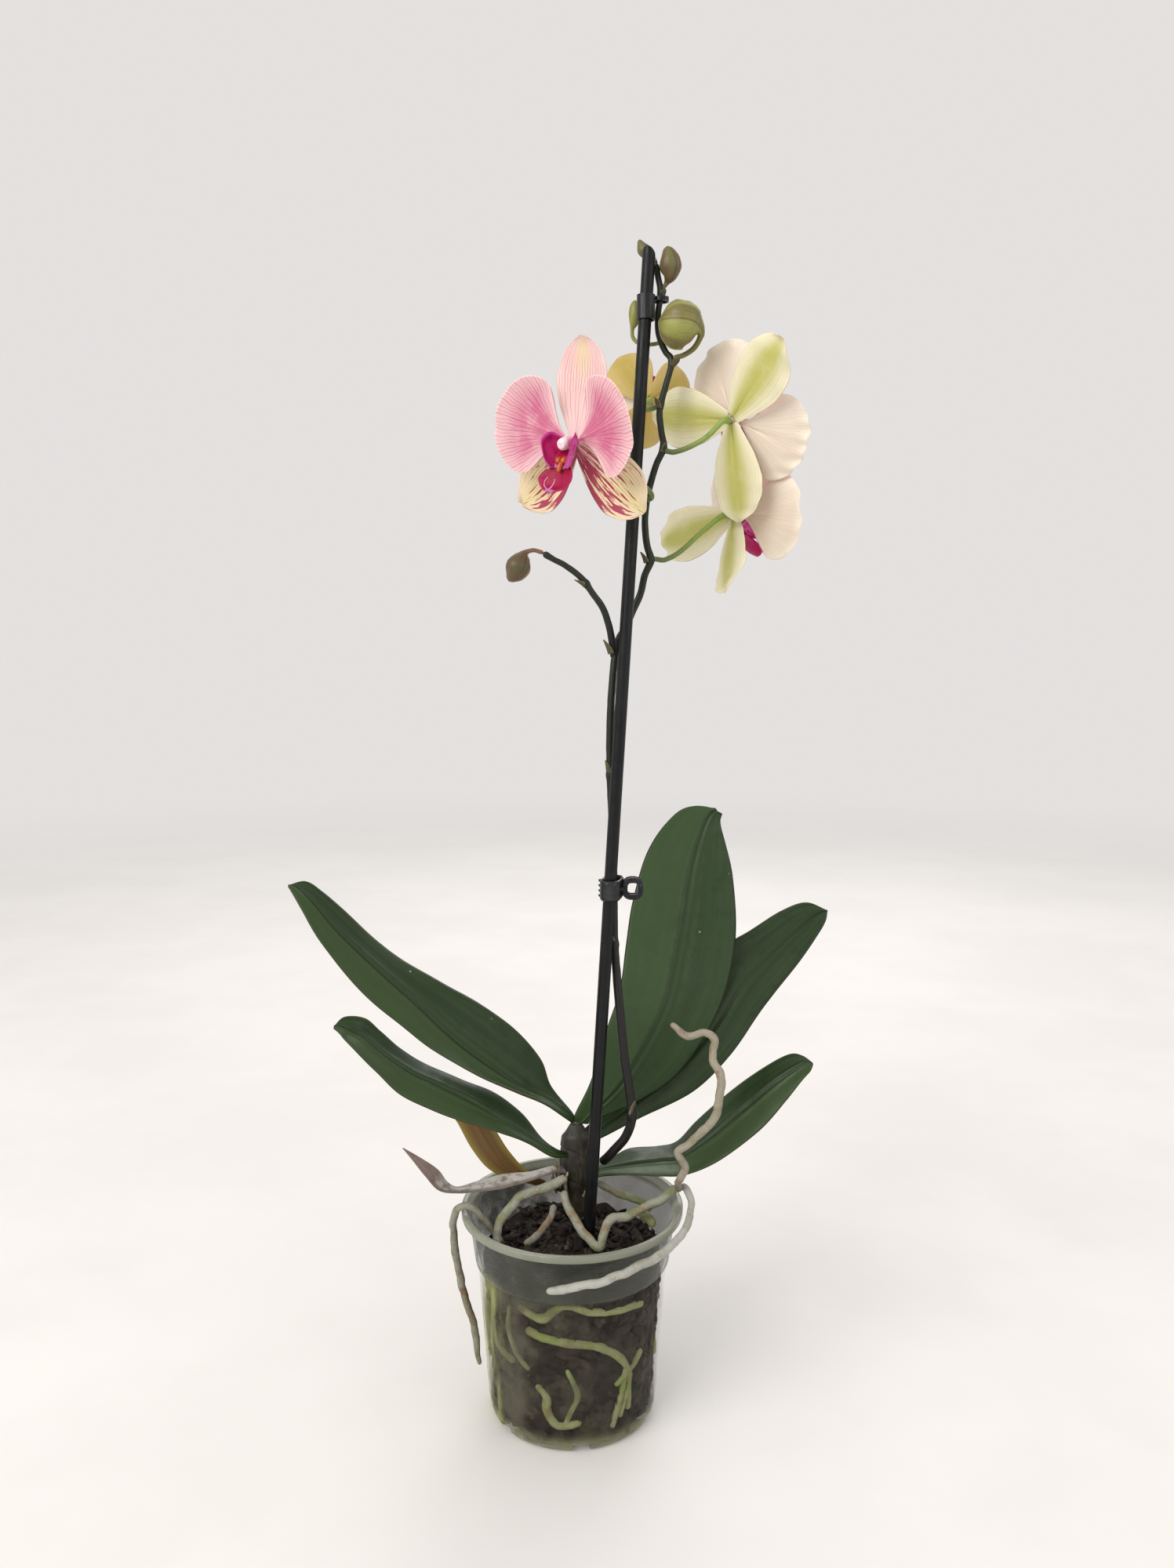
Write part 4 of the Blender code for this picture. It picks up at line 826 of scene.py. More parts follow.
# ------------------------------------------------------------------ leaves
LEAVES = {
    "leaf_upright": (
        [(2, 13, 161), (10, 14, 178), (18, 18, 204), (26, 26, 226), (30, 36, 249), (34, 46, 272),
         (42, 56, 297), (54, 65, 314), (68, 70, 323), (87, 72, 318)],
        [(10, 15, 158), (26, 17, 174), (40, 23, 194), (52, 32, 216), (59, 42, 241), (64, 52, 266),
         (69, 61, 291), (76, 68, 311), (82, 71, 320), (87, 72, 318)],
        [(16, 14, 157), (37, 18, 165), (57, 25, 176), (75, 34, 197), (88, 44, 222), (94, 54, 251),
         (93, 63, 282), (89, 69, 302), (86, 71, 312), (87, 72, 318)]),
    "leaf_rear_right": (
        [(13, 23, 154), (28, 29, 172), (46, 38, 195), (65, 49, 217), (80, 60, 237), (103, 68, 249),
         (123, 74, 260), (138, 75, 265), (151, 75, 260)],
        [(17, 22, 148), (36, 26, 161), (61, 33, 180), (82, 43, 200), (99, 54, 223), (118, 63, 239),
         (135, 70, 252), (144, 73, 258), (151, 75, 260)],
        [(17, 20, 143), (39, 22, 154), (68, 27, 167), (90, 35, 186), (109, 46, 209),
         (130, 56, 232), (142, 65, 245), (149, 71, 254), (151, 75, 260)]),
    "leaf_low_right": (
        [(17, 21, 127), (31, 28, 133), (48, 32, 133), (59, 32, 136), (70, 31, 148), (87, 27, 166),
         (105, 22, 182), (119, 17, 192), (126, 12, 193), (131, 7, 190)],
        [(16, 14, 126), (33, 14, 129), (48, 14, 131), (60, 14, 133), (76, 13, 145), (95, 11, 163),
         (111, 9, 178), (123, 8, 187), (128, 8, 190), (131, 7, 190)],
        [(16, 8, 126), (32, 3, 129), (48, 0, 129), (62, 0, 130), (80, -1, 139), (101, -2, 156),
         (115, -1, 172), (124, 1, 183), (129, 4, 187), (131, 7, 190)]),
    "leaf_upper_left": (
        [(-1, 16, 160), (-12, 20, 173), (-18, 24, 187), (-33, 26, 204), (-52, 26, 218),
         (-74, 26, 231), (-98, 25, 246), (-120, 24, 266), (-137, 23, 282), (-146, 22, 288),
         (-155, 19, 286)],
        [(-3, 12, 160), (-13, 12, 167), (-28, 11, 175), (-45, 10, 187), (-64, 10, 202),
         (-85, 10, 222), (-106, 11, 241), (-127, 13, 261), (-142, 16, 278), (-149, 18, 284),
         (-155, 19, 286)],
        [(-3, 9, 158), (-14, 4, 168), (-30, -1, 178), (-49, -5, 187), (-70, -5, 199),
         (-92, -5, 216), (-113, -2, 234), (-133, 2, 257), (-145, 9, 274), (-151, 14, 282),
         (-155, 19, 286)]),
    "leaf_lower_left": (
        [(-9, 7, 142), (-17, 8, 148), (-28, 9, 162), (-43, 8, 174), (-61, 4, 183), (-78, 1, 192),
         (-92, -4, 203), (-101, -7, 213), (-108, -13, 222), (-118, -17, 224), (-123, -22, 220)],
        [(-10, 4, 141), (-21, 1, 149), (-36, -4, 161), (-52, -8, 173), (-70, -12, 184),
         (-84, -15, 192), (-98, -18, 203), (-107, -20, 212), (-113, -21, 216), (-118, -22, 219),
         (-123, -22, 220)],
        [(-11, 1, 140), (-23, -5, 150), (-37, -15, 160), (-56, -22, 169), (-74, -26, 178),
         (-89, -29, 187), (-100, -31, 199), (-109, -31, 209), (-116, -28, 215), (-119, -26, 218),
         (-123, -22, 220)]),
    "leaf_old": (
        [(-20, 15, 117), (-43, 18, 123), (-56, 21, 135), (-65, 23, 151), (-71, 23, 160),
         (-72, 23, 167), (-68, 22, 170)],
        [(-17, 14, 119), (-34, 16, 126), (-45, 18, 137), (-53, 20, 150), (-61, 21, 160),
         (-67, 22, 166), (-68, 22, 170)],
        [(-15, 13, 121), (-26, 14, 127), (-35, 15, 137), (-43, 17, 149), (-52, 19, 161),
         (-60, 21, 167), (-68, 22, 170)]),
    "leaf_dry": (
        [(-10, 8, 132), (-23, 7, 129), (-38, 4, 129), (-53, 1, 126), (-62, -1, 124),
         (-67, -4, 128), (-72, -6, 136), (-80, -10, 144), (-90, -14, 152)],
        [(-10, 5, 131), (-23, 2, 129), (-38, -2, 128), (-51, -4, 125), (-61, -6, 125),
         (-68, -8, 127), (-75, -10, 135), (-82, -12, 144), (-90, -14, 152)],
        [(-11, 2, 130), (-23, -3, 128), (-38, -8, 126), (-50, -9, 125), (-61, -11, 125),
         (-71, -12, 127), (-78, -14, 136), (-84, -14, 144), (-90, -14, 152)]),
}


TORN_STRIPS = [
    [(-7, 9.5, 118, 0.5), (-8.5, 7, 124, 0.7), (-7.5, 6.5, 131, 0.55), (-9, 5.5, 136, 0.3)],
    [(-3, 8.3, 116, 0.5), (-4, 6.6, 122, 0.6), (-2.5, 6.4, 129, 0.3)],
    [(6, 8.6, 114, 0.5), (8, 6.5, 119, 0.6), (8.5, 6.2, 126, 0.3)],
    [(10.5, 12, 112, 0.5), (12.5, 10, 117, 0.5), (13, 10, 124, 0.3)],
    [(-9, 15, 113, 0.5), (-11, 13, 119, 0.6), (-10.5, 12, 127, 0.3)],
    [(4, 23, 112, 0.5), (3, 24.5, 120, 0.7), (5, 24.2, 128, 0.3)],
]


def clasped(edge, heel):
    """Adds a first point to an edge, about two thirds of the way back to the stem's middle, so
    that the leaf's heel wraps into the stem."""
    stem = np.array([CROWN_X, CROWN_Y, heel[2] - 7.0])
    edge = np.array(edge, float)
    return np.vstack([edge[0] * 0.35 + stem * 0.65 + (edge[0] - heel) * 0.25, edge])


def leaf_blade(far, mid, near, thick, ripple):
    """Middle surface = midrib + v half-width + |v|^1.4 fold, v from -1 to 1 across. The upper
    skin dips in a groove at the midrib, the lower skin carries a keel there, and both thin out
    to a round rim by the root of 1 - |v|^5."""
    rows, columns = LEAF_GRID
    t, v = np.linspace(0, 1, rows), np.linspace(-1, 1, columns)
    v = (np.sign(v) * np.abs(v) ** 0.9)[None]
    far, mid, near = (clasped(edge, mid[0]) for edge in (far, mid, near))
    at = (len(mid) - 1.06) * (1 - (1 - t) ** 1.25)
    a, m, b = through(far, at), through(mid, at), through(near, at)
    half, fold = (b - a)[:, None] / 2, ((a + b) / 2 - m)[:, None]
    middle = m[:, None] + half * v[..., None] + fold * (np.abs(v) ** 1.4)[..., None]
    wide = np.linalg.norm(half, axis=-1)
    up = unit(np.cross(np.gradient(middle, axis=0), np.gradient(middle, axis=1)))
    wave = ripple * lumps(middle, 34, 21) * ease(wide, 4, 14) * (0.3 + 0.7 * v**2)
    middle = middle + up * wave[..., None]
    rim = np.sqrt(np.clip(1 - np.abs(v) ** 5, 0, 1)) * thick / 2
    body = rim * (1 + 0 * wide)
    groove = np.minimum(0.75 * thick, 0.12 * wide + 0.1)
    ribs = 0.018 * np.cos(v * TAU * 5.5) * ease(wide, 5, 12)
    face_up = up[:, columns // 2, 2].mean() > 0 or up[:, columns // 2, 1].mean() < -0.2
    top = body - groove * bell(v, 0, 0.055) + 0.25 * thick * bell(np.abs(v), 0.14, 0.10) + ribs
    under = body + groove * 0.8 * bell(v, 0, 0.10) * ease(1 - t, 0.02, 0.3)[:, None]
    way = 1 if face_up else -1
    return blade(middle[:, ::way], top[:, ::way], under[:, ::way], v[:, ::way], t[:, None])


def leaves():
    """Five green leaves, the upright one in brighter greens and the shaded one in a painted-shade
    copy of the green without a painted lit half, and two old ones.
    """
    dark, pale = (0.008, 0.022, 0.005), (0.028, 0.054, 0.013)
    green = leaf_skin("leaf_green", dark, pale, (0.046, 0.066, 0.023), (0.050, 0.024, 0.020))
    skins = {
        "leaf_upright": leaf_skin(
            "leaf_green_upright", (0.013, 0.034, 0.006), (0.032, 0.062, 0.019),
            (0.050, 0.072, 0.024), (0.030, 0.020, 0.014), -1.0),
        # painted shade: a darker copy of the leaf green, with no half painted lit, for the leaf in
        # shade
        "leaf_rear_right": leaf_skin(
            "leaf_green_shaded", dark, pale, (0.040, 0.058, 0.020), (0.045, 0.022, 0.018), 0.0),
        "leaf_old": withered(
            "old_leaf_skin", (0.36, 0.215, 0.032), (0.115, 0.052, 0.016), (0.46, 0.32, 0.06),
            0.55, (0.115, 0.062, 0.016), (0.25, 0.195, 0.035)),
        "leaf_dry": withered(
            "dry_leaf_skin", (0.36, 0.335, 0.30), (0.115, 0.085, 0.070), (0.52, 0.50, 0.46),
            0.7, (0.075, 0.052, 0.036), (0.12, 0.085, 0.060), (0.24, 0.165, 0.145)),
    }
    slots = {"leaf_old": "old_leaf", "leaf_dry": "dry_leaf"}
    for name, edges in LEAVES.items():
        kind = OLD_LEAF if name in slots else GREEN_LEAF
        piece(name + "_blade", [leaf_blade(*edges, *kind)], skins.get(name, green),
              slots.get(name, "leaf_green"), name)


def crown():
    """Ovals stacked up the short stem, with overlapping sheath rims: radius steps in at each
    old leaf scar and fibres run down it. Torn sheath strips stand off all round it."""
    z = np.linspace(CROWN_LOW, CROWN_TOP, 90)[:, None]
    w = TAU * np.arange(64) / 64
    stops = [CROWN_LOW, 104, 116, 132, 146, CROWN_TOP]
    wide = np.interp(z, stops, [4.6, 7.2, 8.8, 9.4, 8.0, 3.0])
    deep = np.interp(z, stops, [3.8, 5.8, 6.8, 7.0, 6.0, 2.6])
    step = ((z + 5.0 * np.cos(w - 0.6)) % 17.0) / 17.0
    swell = 1.01 - 0.045 * step + 0.02 * np.cos(7 * w + z / 9) - 0.025 * bell(step, 1, 0.06)
    rings = np.stack([CROWN_X + wide * swell * np.cos(w), CROWN_Y + deep * swell * np.sin(w),
                      z + 0 * w], -1)
    rings += 0.3 * lumps(rings, 7, 31)[..., None] * unit(rings - [CROWN_X, CROWN_Y, 125])
    share = (z - CROWN_LOW) / (CROWN_TOP - CROWN_LOW)
    mark = np.stack(np.broadcast_arrays(np.cos(w)[None], share, 0 * rings[..., 0]), -1)
    f = Finish("crown_sheath")
    fibre = f.mottle(2.0, 0.5, 0.7, (1.0, 1.0, 0.12))
    # the sheath's own dark browns, darkened further to near-black as painted shade for the shadow
    # under the leaves
    skin = f.coats((0.010, 0.009, 0.006), (f.mottle(6.0), 1, (0.028, 0.024, 0.013)),
                   (fibre, 0.35, (0.11, 0.080, 0.045)),
                   (f.rise(f.along, 0.35, 0.0, 0.0, 0.7), 1, (0.085, 0.060, 0.035)))
    piece("crown", [closed(rings, mark)], f.done(skin, 0.55, fibre, 0.25), "crown_green",
          "crown_stem")
    torn = withered("torn_sheath_fibre", (0.42, 0.38, 0.28), (0.20, 0.15, 0.09),
                    (0.60, 0.56, 0.44))
    piece("torn_sheath", [sweep(path(strip, 0.6), 12, 0.25, 2.0, 33,
                                lambda w, t: 0.35 + 1.9 * np.abs(np.cos(w)))
                          for strip in TORN_STRIPS], torn, "dry_leaf")


# ------------------------------------------------------------------ spike, branch and buds
SPIKE = [(16, 5, 135), (22, 1, 143), (29, -2, 153), (32, -4, 164), (31, -4, 178), (28, -3, 197),
    (25.5, -0.5, 222), (24, 2, 240), (22.5, 5, 259), (22.3, 7.3, 280), (22, 8, 301),
    (21.5, 7, 322), (20.5, 5.5, 343), (20, 4.5, 364), (20.5, 4, 385), (21.6, 4, 401),
    (22.6, 4.5, 411), (24.5, 7, 419), (28, 9.5, 425), (32, 10, 434), (36, 10, 443), (38, 9, 452),
    (41, 8.5, 460), (39, 8, 468), (38, 8, 478), (38.5, 7.5, 488), (40.5, 6, 498), (43.5, 5, 508),
    (47, 4.5, 516), (46, 4.5, 524), (45, 5, 532), (45.5, 5, 538), (48, 5, 547), (51, 5, 559),
    (48, 6, 564), (45.5, 6, 569), (44, 5.5, 575), (44, 4.5, 583), (45, 4, 590), (45, 4, 594),
    (43.6, 4.6, 601), (42.6, 5.4, 607)]
SPIKE_NODES = [166, 257, 348, 415, 460, 516, 538, 559, 592]
BRANCH = [(21, 2.5, 418), (19, -1, 427), (16, -4, 435), (11, -6, 442), (5, -7, 450), (-3, -9, 456),
    (-9, -10, 459), (-14, -11, 462)]
BUDS = {
    "bud_large": [(51, 5, 559.5, 1.3), (53, 4.5, 561, 1.3), (57, 4, 562, 1.3), (62, 2, 565, 1.4),
        (65, 0, 570, 1.6), (64.5, -1, 572.5, 3.2), (61.5, -1.5, 574, 8.4), (58, -2, 575, 11.2),
        (54, -2, 575.3, 12), (50, -2, 575.6, 11), (46.6, -2, 576, 8), (43.6, -2, 576.5, 3.4)],
    "bud_upper": [(45, 4, 592, 1.1), (46, 4, 594, 1.1), (48, 4, 597, 1.3), (49.5, 3, 600, 3.6),
        (49.8, 2.5, 604, 5.6), (49.5, 2, 608, 5.2), (48.5, 1.5, 612, 3), (48, 1, 614, 1.2)],
    "bud_tip": [(42.8, 5.4, 606.6, 1.2), (41.4, 6.2, 610.2, 1.1), (38.9, 7.8, 612, 2.5),
        (36.6, 8, 614.5, 3.3), (35, 7.8, 617.5, 1.8), (34.3, 7.6, 619.3, 0.7)],
    "bud_left": [(45, 6, 568.6, 1), (42, 6.5, 568, 1), (38, 9, 568.5, 1), (34, 11.5, 570, 1),
        (31.5, 12.5, 573, 1), (31.2, 12.5, 577, 1.1), (32, 12, 580, 2.4), (32.5, 11.5, 584, 3.2),
        (32.5, 11.5, 588, 2.6), (32.5, 11.5, 591, 0.9)],
    "bud_branch": [(-14, -11, 462, 1.2), (-15.6, -11, 462.6, 1.1), (-19, -11, 463.4, 1.1),
        (-22.5, -11, 462.4, 1.5), (-24.5, -11.2, 459.5, 4.4), (-26.5, -11.6, 455.5, 6.4),
        (-28.5, -12, 451.8, 5.4), (-30.4, -12.2, 449.2, 2.8), (-31.4, -12.3, 447.8, 1)],
}


# Scale leaves: place, the stem's direction there, the side it is on, length, half width
SCALES = [
    ((31.6, -4, 165), (-0.1, 0, 1), (0.8, -0.6, 0), 9, 2.4),
    ((22.7, 4.8, 256), (0, 0.1, 1), (-0.9, -0.4, 0), 9, 2.2),
    ((20.5, 5.2, 347), (0, 0, 1), (-0.9, -0.5, 0), 9, 2.0),
    ((21.4, 3.4, 412), (-0.25, -0.1, 1), (-0.9, -0.4, 0), 8, 2.2),
    ((7.6, -6.6, 446.6), (-0.7, -0.1, 0.7), (-0.5, -0.2, -0.8), 6, 1.6),
    ((39.6, 8.3, 458.8), (-0.2, 0, 1), (-0.9, -0.3, 0), 6, 1.8),
    ((46.2, 4.6, 514), (0, 0, 1), (0.9, -0.5, 0), 5, 1.7),
    ((45, 5, 536), (0, 0, 1), (-0.8, -0.5, 0), 5, 1.7),
    ((50.4, 5, 557), (0.6, 0, 0.7), (0.4, -0.8, -0.3), 5, 1.6),
    ((45, 4.2, 590), (0.2, 0, 1), (0.6, -0.8, 0), 4, 1.6),
]
SEAMS = (0.4, 2.5, 4.6)  # turns about a bud, in radians


def seams(w, width):
    """How near a turn about a bud is to one of its seams, from 0 to 1."""
    return sum(bell(np.cos((w - c) / 2), 0, width) for c in SEAMS)


def spike_radius(z):
    """2.5 mm low down, falling evenly to 1.6 mm near the top."""
    return 2.5 - 0.9 * np.clip((z - 160) / 400, 0, 1)


def node_scale(spot, ahead, out, long, wide):
    """A small scale leaf that hugs a stem joint: a pointed blade whose wrap round the stem
    shrinks as 1 - 0.85 t^1.6 and which lifts off the stem towards its tip."""
    t, v = np.linspace(0, 1, 18)[:, None], np.linspace(-1, 1, 13)[None]
    ahead, out = unit(np.array(ahead, float)), np.array(out, float)
    out = unit(out - (out @ ahead) * ahead)
    side = np.cross(ahead, out)
    wrap = v * 1.5 * (1 - 0.85 * t**1.6)
    lift = wide + 0.25 + 0.9 * t**2
    middle = (np.array(spot, float) + (t * long)[..., None] * ahead
              + (lift * np.sin(wrap))[..., None] * side + (lift * np.cos(wrap))[..., None] * out)
    thin = 0.16 * np.sqrt(1 - np.abs(v) ** 4) * (1 + 0 * t)
    return blade(middle, thin, thin, v, t)


def spike_and_buds():
    """Stems are sweeps with a swelling at each joint. A bud's ring is drawn in along three
    seams, and the seam's strength is kept as a mark for its colour."""
    stem = stem_skin("spike_skin", (0.012, 0.017, 0.007), (0.006, 0.0055, 0.0055),
                     (0.034, 0.040, 0.020))
    line = np.array([(*p, 0.0) for p in SPIKE], float)
    line[:, 3] = spike_radius(line[:, 2])
    line = path(line, 0.8)
    joints = sum(bell(line[:, 2], z, 2.2) for z in SPIKE_NODES)
    line[:, 3] *= 1 + 0.22 * np.minimum(joints, 1)
    fork = path([(21.8, 4.4, 409, 1.6), (21.6, 3.9, 414, 2.0)]
                + [(*p, 1.9 - 0.07 * k) for k, p in enumerate(BRANCH)], 0.7)
    fork[:, 3] *= 1 + 0.30 * bell(fork[:, 2], 447, 1.3) + 0.2 * bell(fork[:, 2], 461, 1.2)
    piece("spike", [sweep(line, 22, 0.03, 5, 41)], stem, "stem_green", "flower_spike")
    piece("branch", [sweep(fork, 18, 0.03, 4, 42)], stem, "stem_green", "side_branch")
    husk = withered("joint_scale_skin", (0.30, 0.26, 0.15), (0.12, 0.10, 0.05),
                    (0.42, 0.38, 0.25))
    piece("joint_scales", [node_scale(*scale) for scale in SCALES], husk, "stem_green")
    bud = bud_skin("bud_skin", (0.27, 0.275, 0.068), (0.165, 0.140, 0.045),
                   (0.095, 0.075, 0.020))
    striped = bud_skin("striped_bud_skin", (0.078, 0.066, 0.024), (0.19, 0.092, 0.066),
                       (0.045, 0.030, 0.015))
    dusky = bud_skin("dusky_bud_skin", (0.130, 0.125, 0.038), (0.125, 0.080, 0.040),
                     (0.035, 0.022, 0.012))
    skins = {"bud_large": bud, "bud_left": bud, "bud_branch": striped}
    w = TAU * np.arange(48) / 48
    for k, (name, points) in enumerate(BUDS.items()):
        way = path(points, 0.35)
        body = ease(way[:, 3], 1.9, 3.2)[:, None]
        shape = sweep(way, 48, 0.012, 7, 50 + k, lambda w, t: 1 - 0.075 * body * seams(w, 0.10))
        shape[3][:-2, 2] = (body * seams(w, 0.06)).ravel()
        shape[3][-2:, 2] = 0.5 * (way[:, 3].max() > 5)
        piece(name + "_head", [shape], skins.get(name, dusky), "bud_green", name)


# ------------------------------------------------------------------ flowers
FLOWERS = {
    "front": dict(heart=(3, -30, 513), face=(-0.61, -0.78, -0.14), turn=7.5, sepal=(-12, 45, 15),
                  petal=(9, 40, 54), curl=12, cup=0.010,
                  stalk=[(38.5, 5.5, 490.4), (41, 3, 491), (40, -3, 493), (34, -9, 497),
                         (19, -17, 506)]),
    "upper_right": dict(heart=(81, 1, 529.5), face=(0.68, 0.67, 0.22), turn=-50,
                        sepal=(-6, 47, 15.5), petal=(12, 38, 54), curl=6, cup=0.010,
                        wave=2.0,
                        stalk=[(46, 4.6, 515.5), (49, 4, 514.5), (53, 3, 514), (61, 1, 516.5),
                               (69, -1, 521)]),
    "lower_right": dict(heart=(85.6, 25, 485), face=(0.87, 0.48, 0.10), turn=-25,
                        sepal=(-32, 45, 14.5), dorsal=8, petal=(12, 39, 54), curl=8, cup=0.010,
                        wave=2.2,
                        stalk=[(40.2, 8.4, 461), (44, 9.4, 460.6), (49, 11, 460.5), (57, 14, 465),
                               (68, 18, 475)]),
    "rear": dict(heart=(41, 44, 548), face=(-0.10, 0.95, 0.20), turn=165, sepal=(14, 26, 13.5),
                 petal=(20, 23, 52), curl=30, cup=0.015,
                 stalk=[(45.5, 5, 537.6), (43.5, 8, 537.2), (41, 11, 537), (37, 19, 538),
                        (37.5, 29, 542)]),
}
SEPAL_SHAPE = ([0, 0.12, 0.3, 0.5, 0.68, 0.84, 0.94, 1],
               [0.26, 0.5, 0.8, 0.98, 0.98, 0.75, 0.45, 0.1])
SEGMENTS = (("dorsal_sepal", "sepal", 0), ("left_sepal", "sepal", -130),
            ("right_sepal", "sepal", 130), ("left_petal", "petal", -72),
            ("right_petal", "petal", 72))


LIP_HAIRS = [
    [(-2, -21.8, 19, 0.35), (-3.8, -20, 19.6, 0.28), (-4.6, -17.6, 18.2, 0.22),
     (-3.6, -15.9, 17, 0.15)],
    [(-2, -21.8, 19, 0.35), (0.2, -20.4, 19.4, 0.28), (1.2, -18.4, 18.6, 0.22),
     (0.8, -16.8, 17.4, 0.15)],
]


def flower_axes(face, turn):
    """Right, up and out of a flower seen from its front, turned clockwise."""
    out = unit(np.array(face, float))
    up = unit(np.array([0, 0, 1.0]) - out[2] * out)
    right = np.cross(up, out)
    a = math.radians(turn)
    return np.stack([math.cos(a) * right - math.sin(a) * up,
                     math.cos(a) * up + math.sin(a) * right, out])


def curved(a, b, tilt, curl, length, cup):
    """Bends a flat outline: a runs along the segment on an arc that starts at tilt and turns by
    curl over its length, and b runs across it on an arc of curvature cup."""
    k = curl / length
    turn = tilt + k * a
    along = (np.sin(turn) - math.sin(tilt)) / k
    lift = (1 - np.cos(cup * b)) / cup
    rise = (math.cos(tilt) - np.cos(turn)) / k
    return along - lift * np.sin(turn), np.sin(cup * b) / cup, rise + lift * np.cos(turn)


def segment(kind, spec, angle, seed):
    """A sepal or petal in flower axes. Petal: reach (0.62 + 0.38 (1 - |s|^2.2)^0.53) t along rays
    that fan out to the spread. Sepal: length t, width from its outline. Its height gains a soft
    wave that grows to the rims and shallow troughs along the veins."""
    rows, columns = SEGMENT_GRID
    s = np.linspace(-1, 1, columns)
    s = (np.sign(s) * (1 - (1 - np.abs(s)) ** 1.15))[None]
    if kind == "petal":
        tilt, length, spread = spec["petal"]
        t = np.linspace(0.05, 1, rows)[:, None]
        reach = length * (0.62 + 0.38 * np.clip(1 - np.abs(s) ** 2.2, 0, 1) ** (1 / 1.9))
        fan = s * math.radians(spread) * (0.35 + 0.65 * (1 - (1 - t) ** 2))
        a, b = reach * t * np.cos(fan), reach * t * np.sin(fan)
    else:
        tilt, length, width = spec["sepal"]
        tilt = spec.get("dorsal", tilt) if angle == 0 else tilt
        t = np.linspace(0, 1, rows)[:, None]
        t = 1 - (1 - t) ** 1.2
        outline = through(np.stack([SEPAL_SHAPE[1]] * 3, 1),
                          np.interp(t[:, 0], SEPAL_SHAPE[0], np.arange(8)))[:, :1]
        a, b = length * t + 0 * s, s * width * np.maximum(outline, 0.02)
    x, y, h = curved(a, b, math.radians(tilt), math.radians(spec["curl"]), length, spec["cup"])
    far = np.clip(np.hypot(a, b) / length, 0, 1)
    flat = np.stack([a, b, 0 * a], -1)
    small = length / FULL_LENGTH
    h = h + small * (1.5 * lumps(flat, 26 * small, seed, 5) * far**2 * (0.25 + 0.75 * s**2)
                     + spec.get("wave", SOFT_WAVE) * lumps(flat, 11 * small, seed + 1, 5) * far**3
                     * np.maximum(np.abs(s), far**2) ** 3)
    h = h + small * (0.9 * bell(s, 0, 0.09) * (1 - far) - 0.10 * np.cos(s * TAU * 5) * far)
    x = x + HEART_R + (SEPAL_START if kind == "sepal" else 0.0) - 2.6 * (1 - t) ** 4
    h = h + (PETAL_STEP if kind == "petal" else 0.0)
    turn = math.radians(angle)
    middle = np.stack([x * math.sin(turn) + y * math.cos(turn),
                       x * math.cos(turn) - y * math.sin(turn), h], -1)
    rim = np.sqrt(np.clip(1 - np.abs(s) ** 8, 0, 1)) * (0.48 - 0.22 * far)
    rim = rim * np.sqrt(np.clip(1 - t**16, 0, 1)) + 0.02
    return middle[:, ::-1], rim[:, ::-1], s[:, ::-1], t


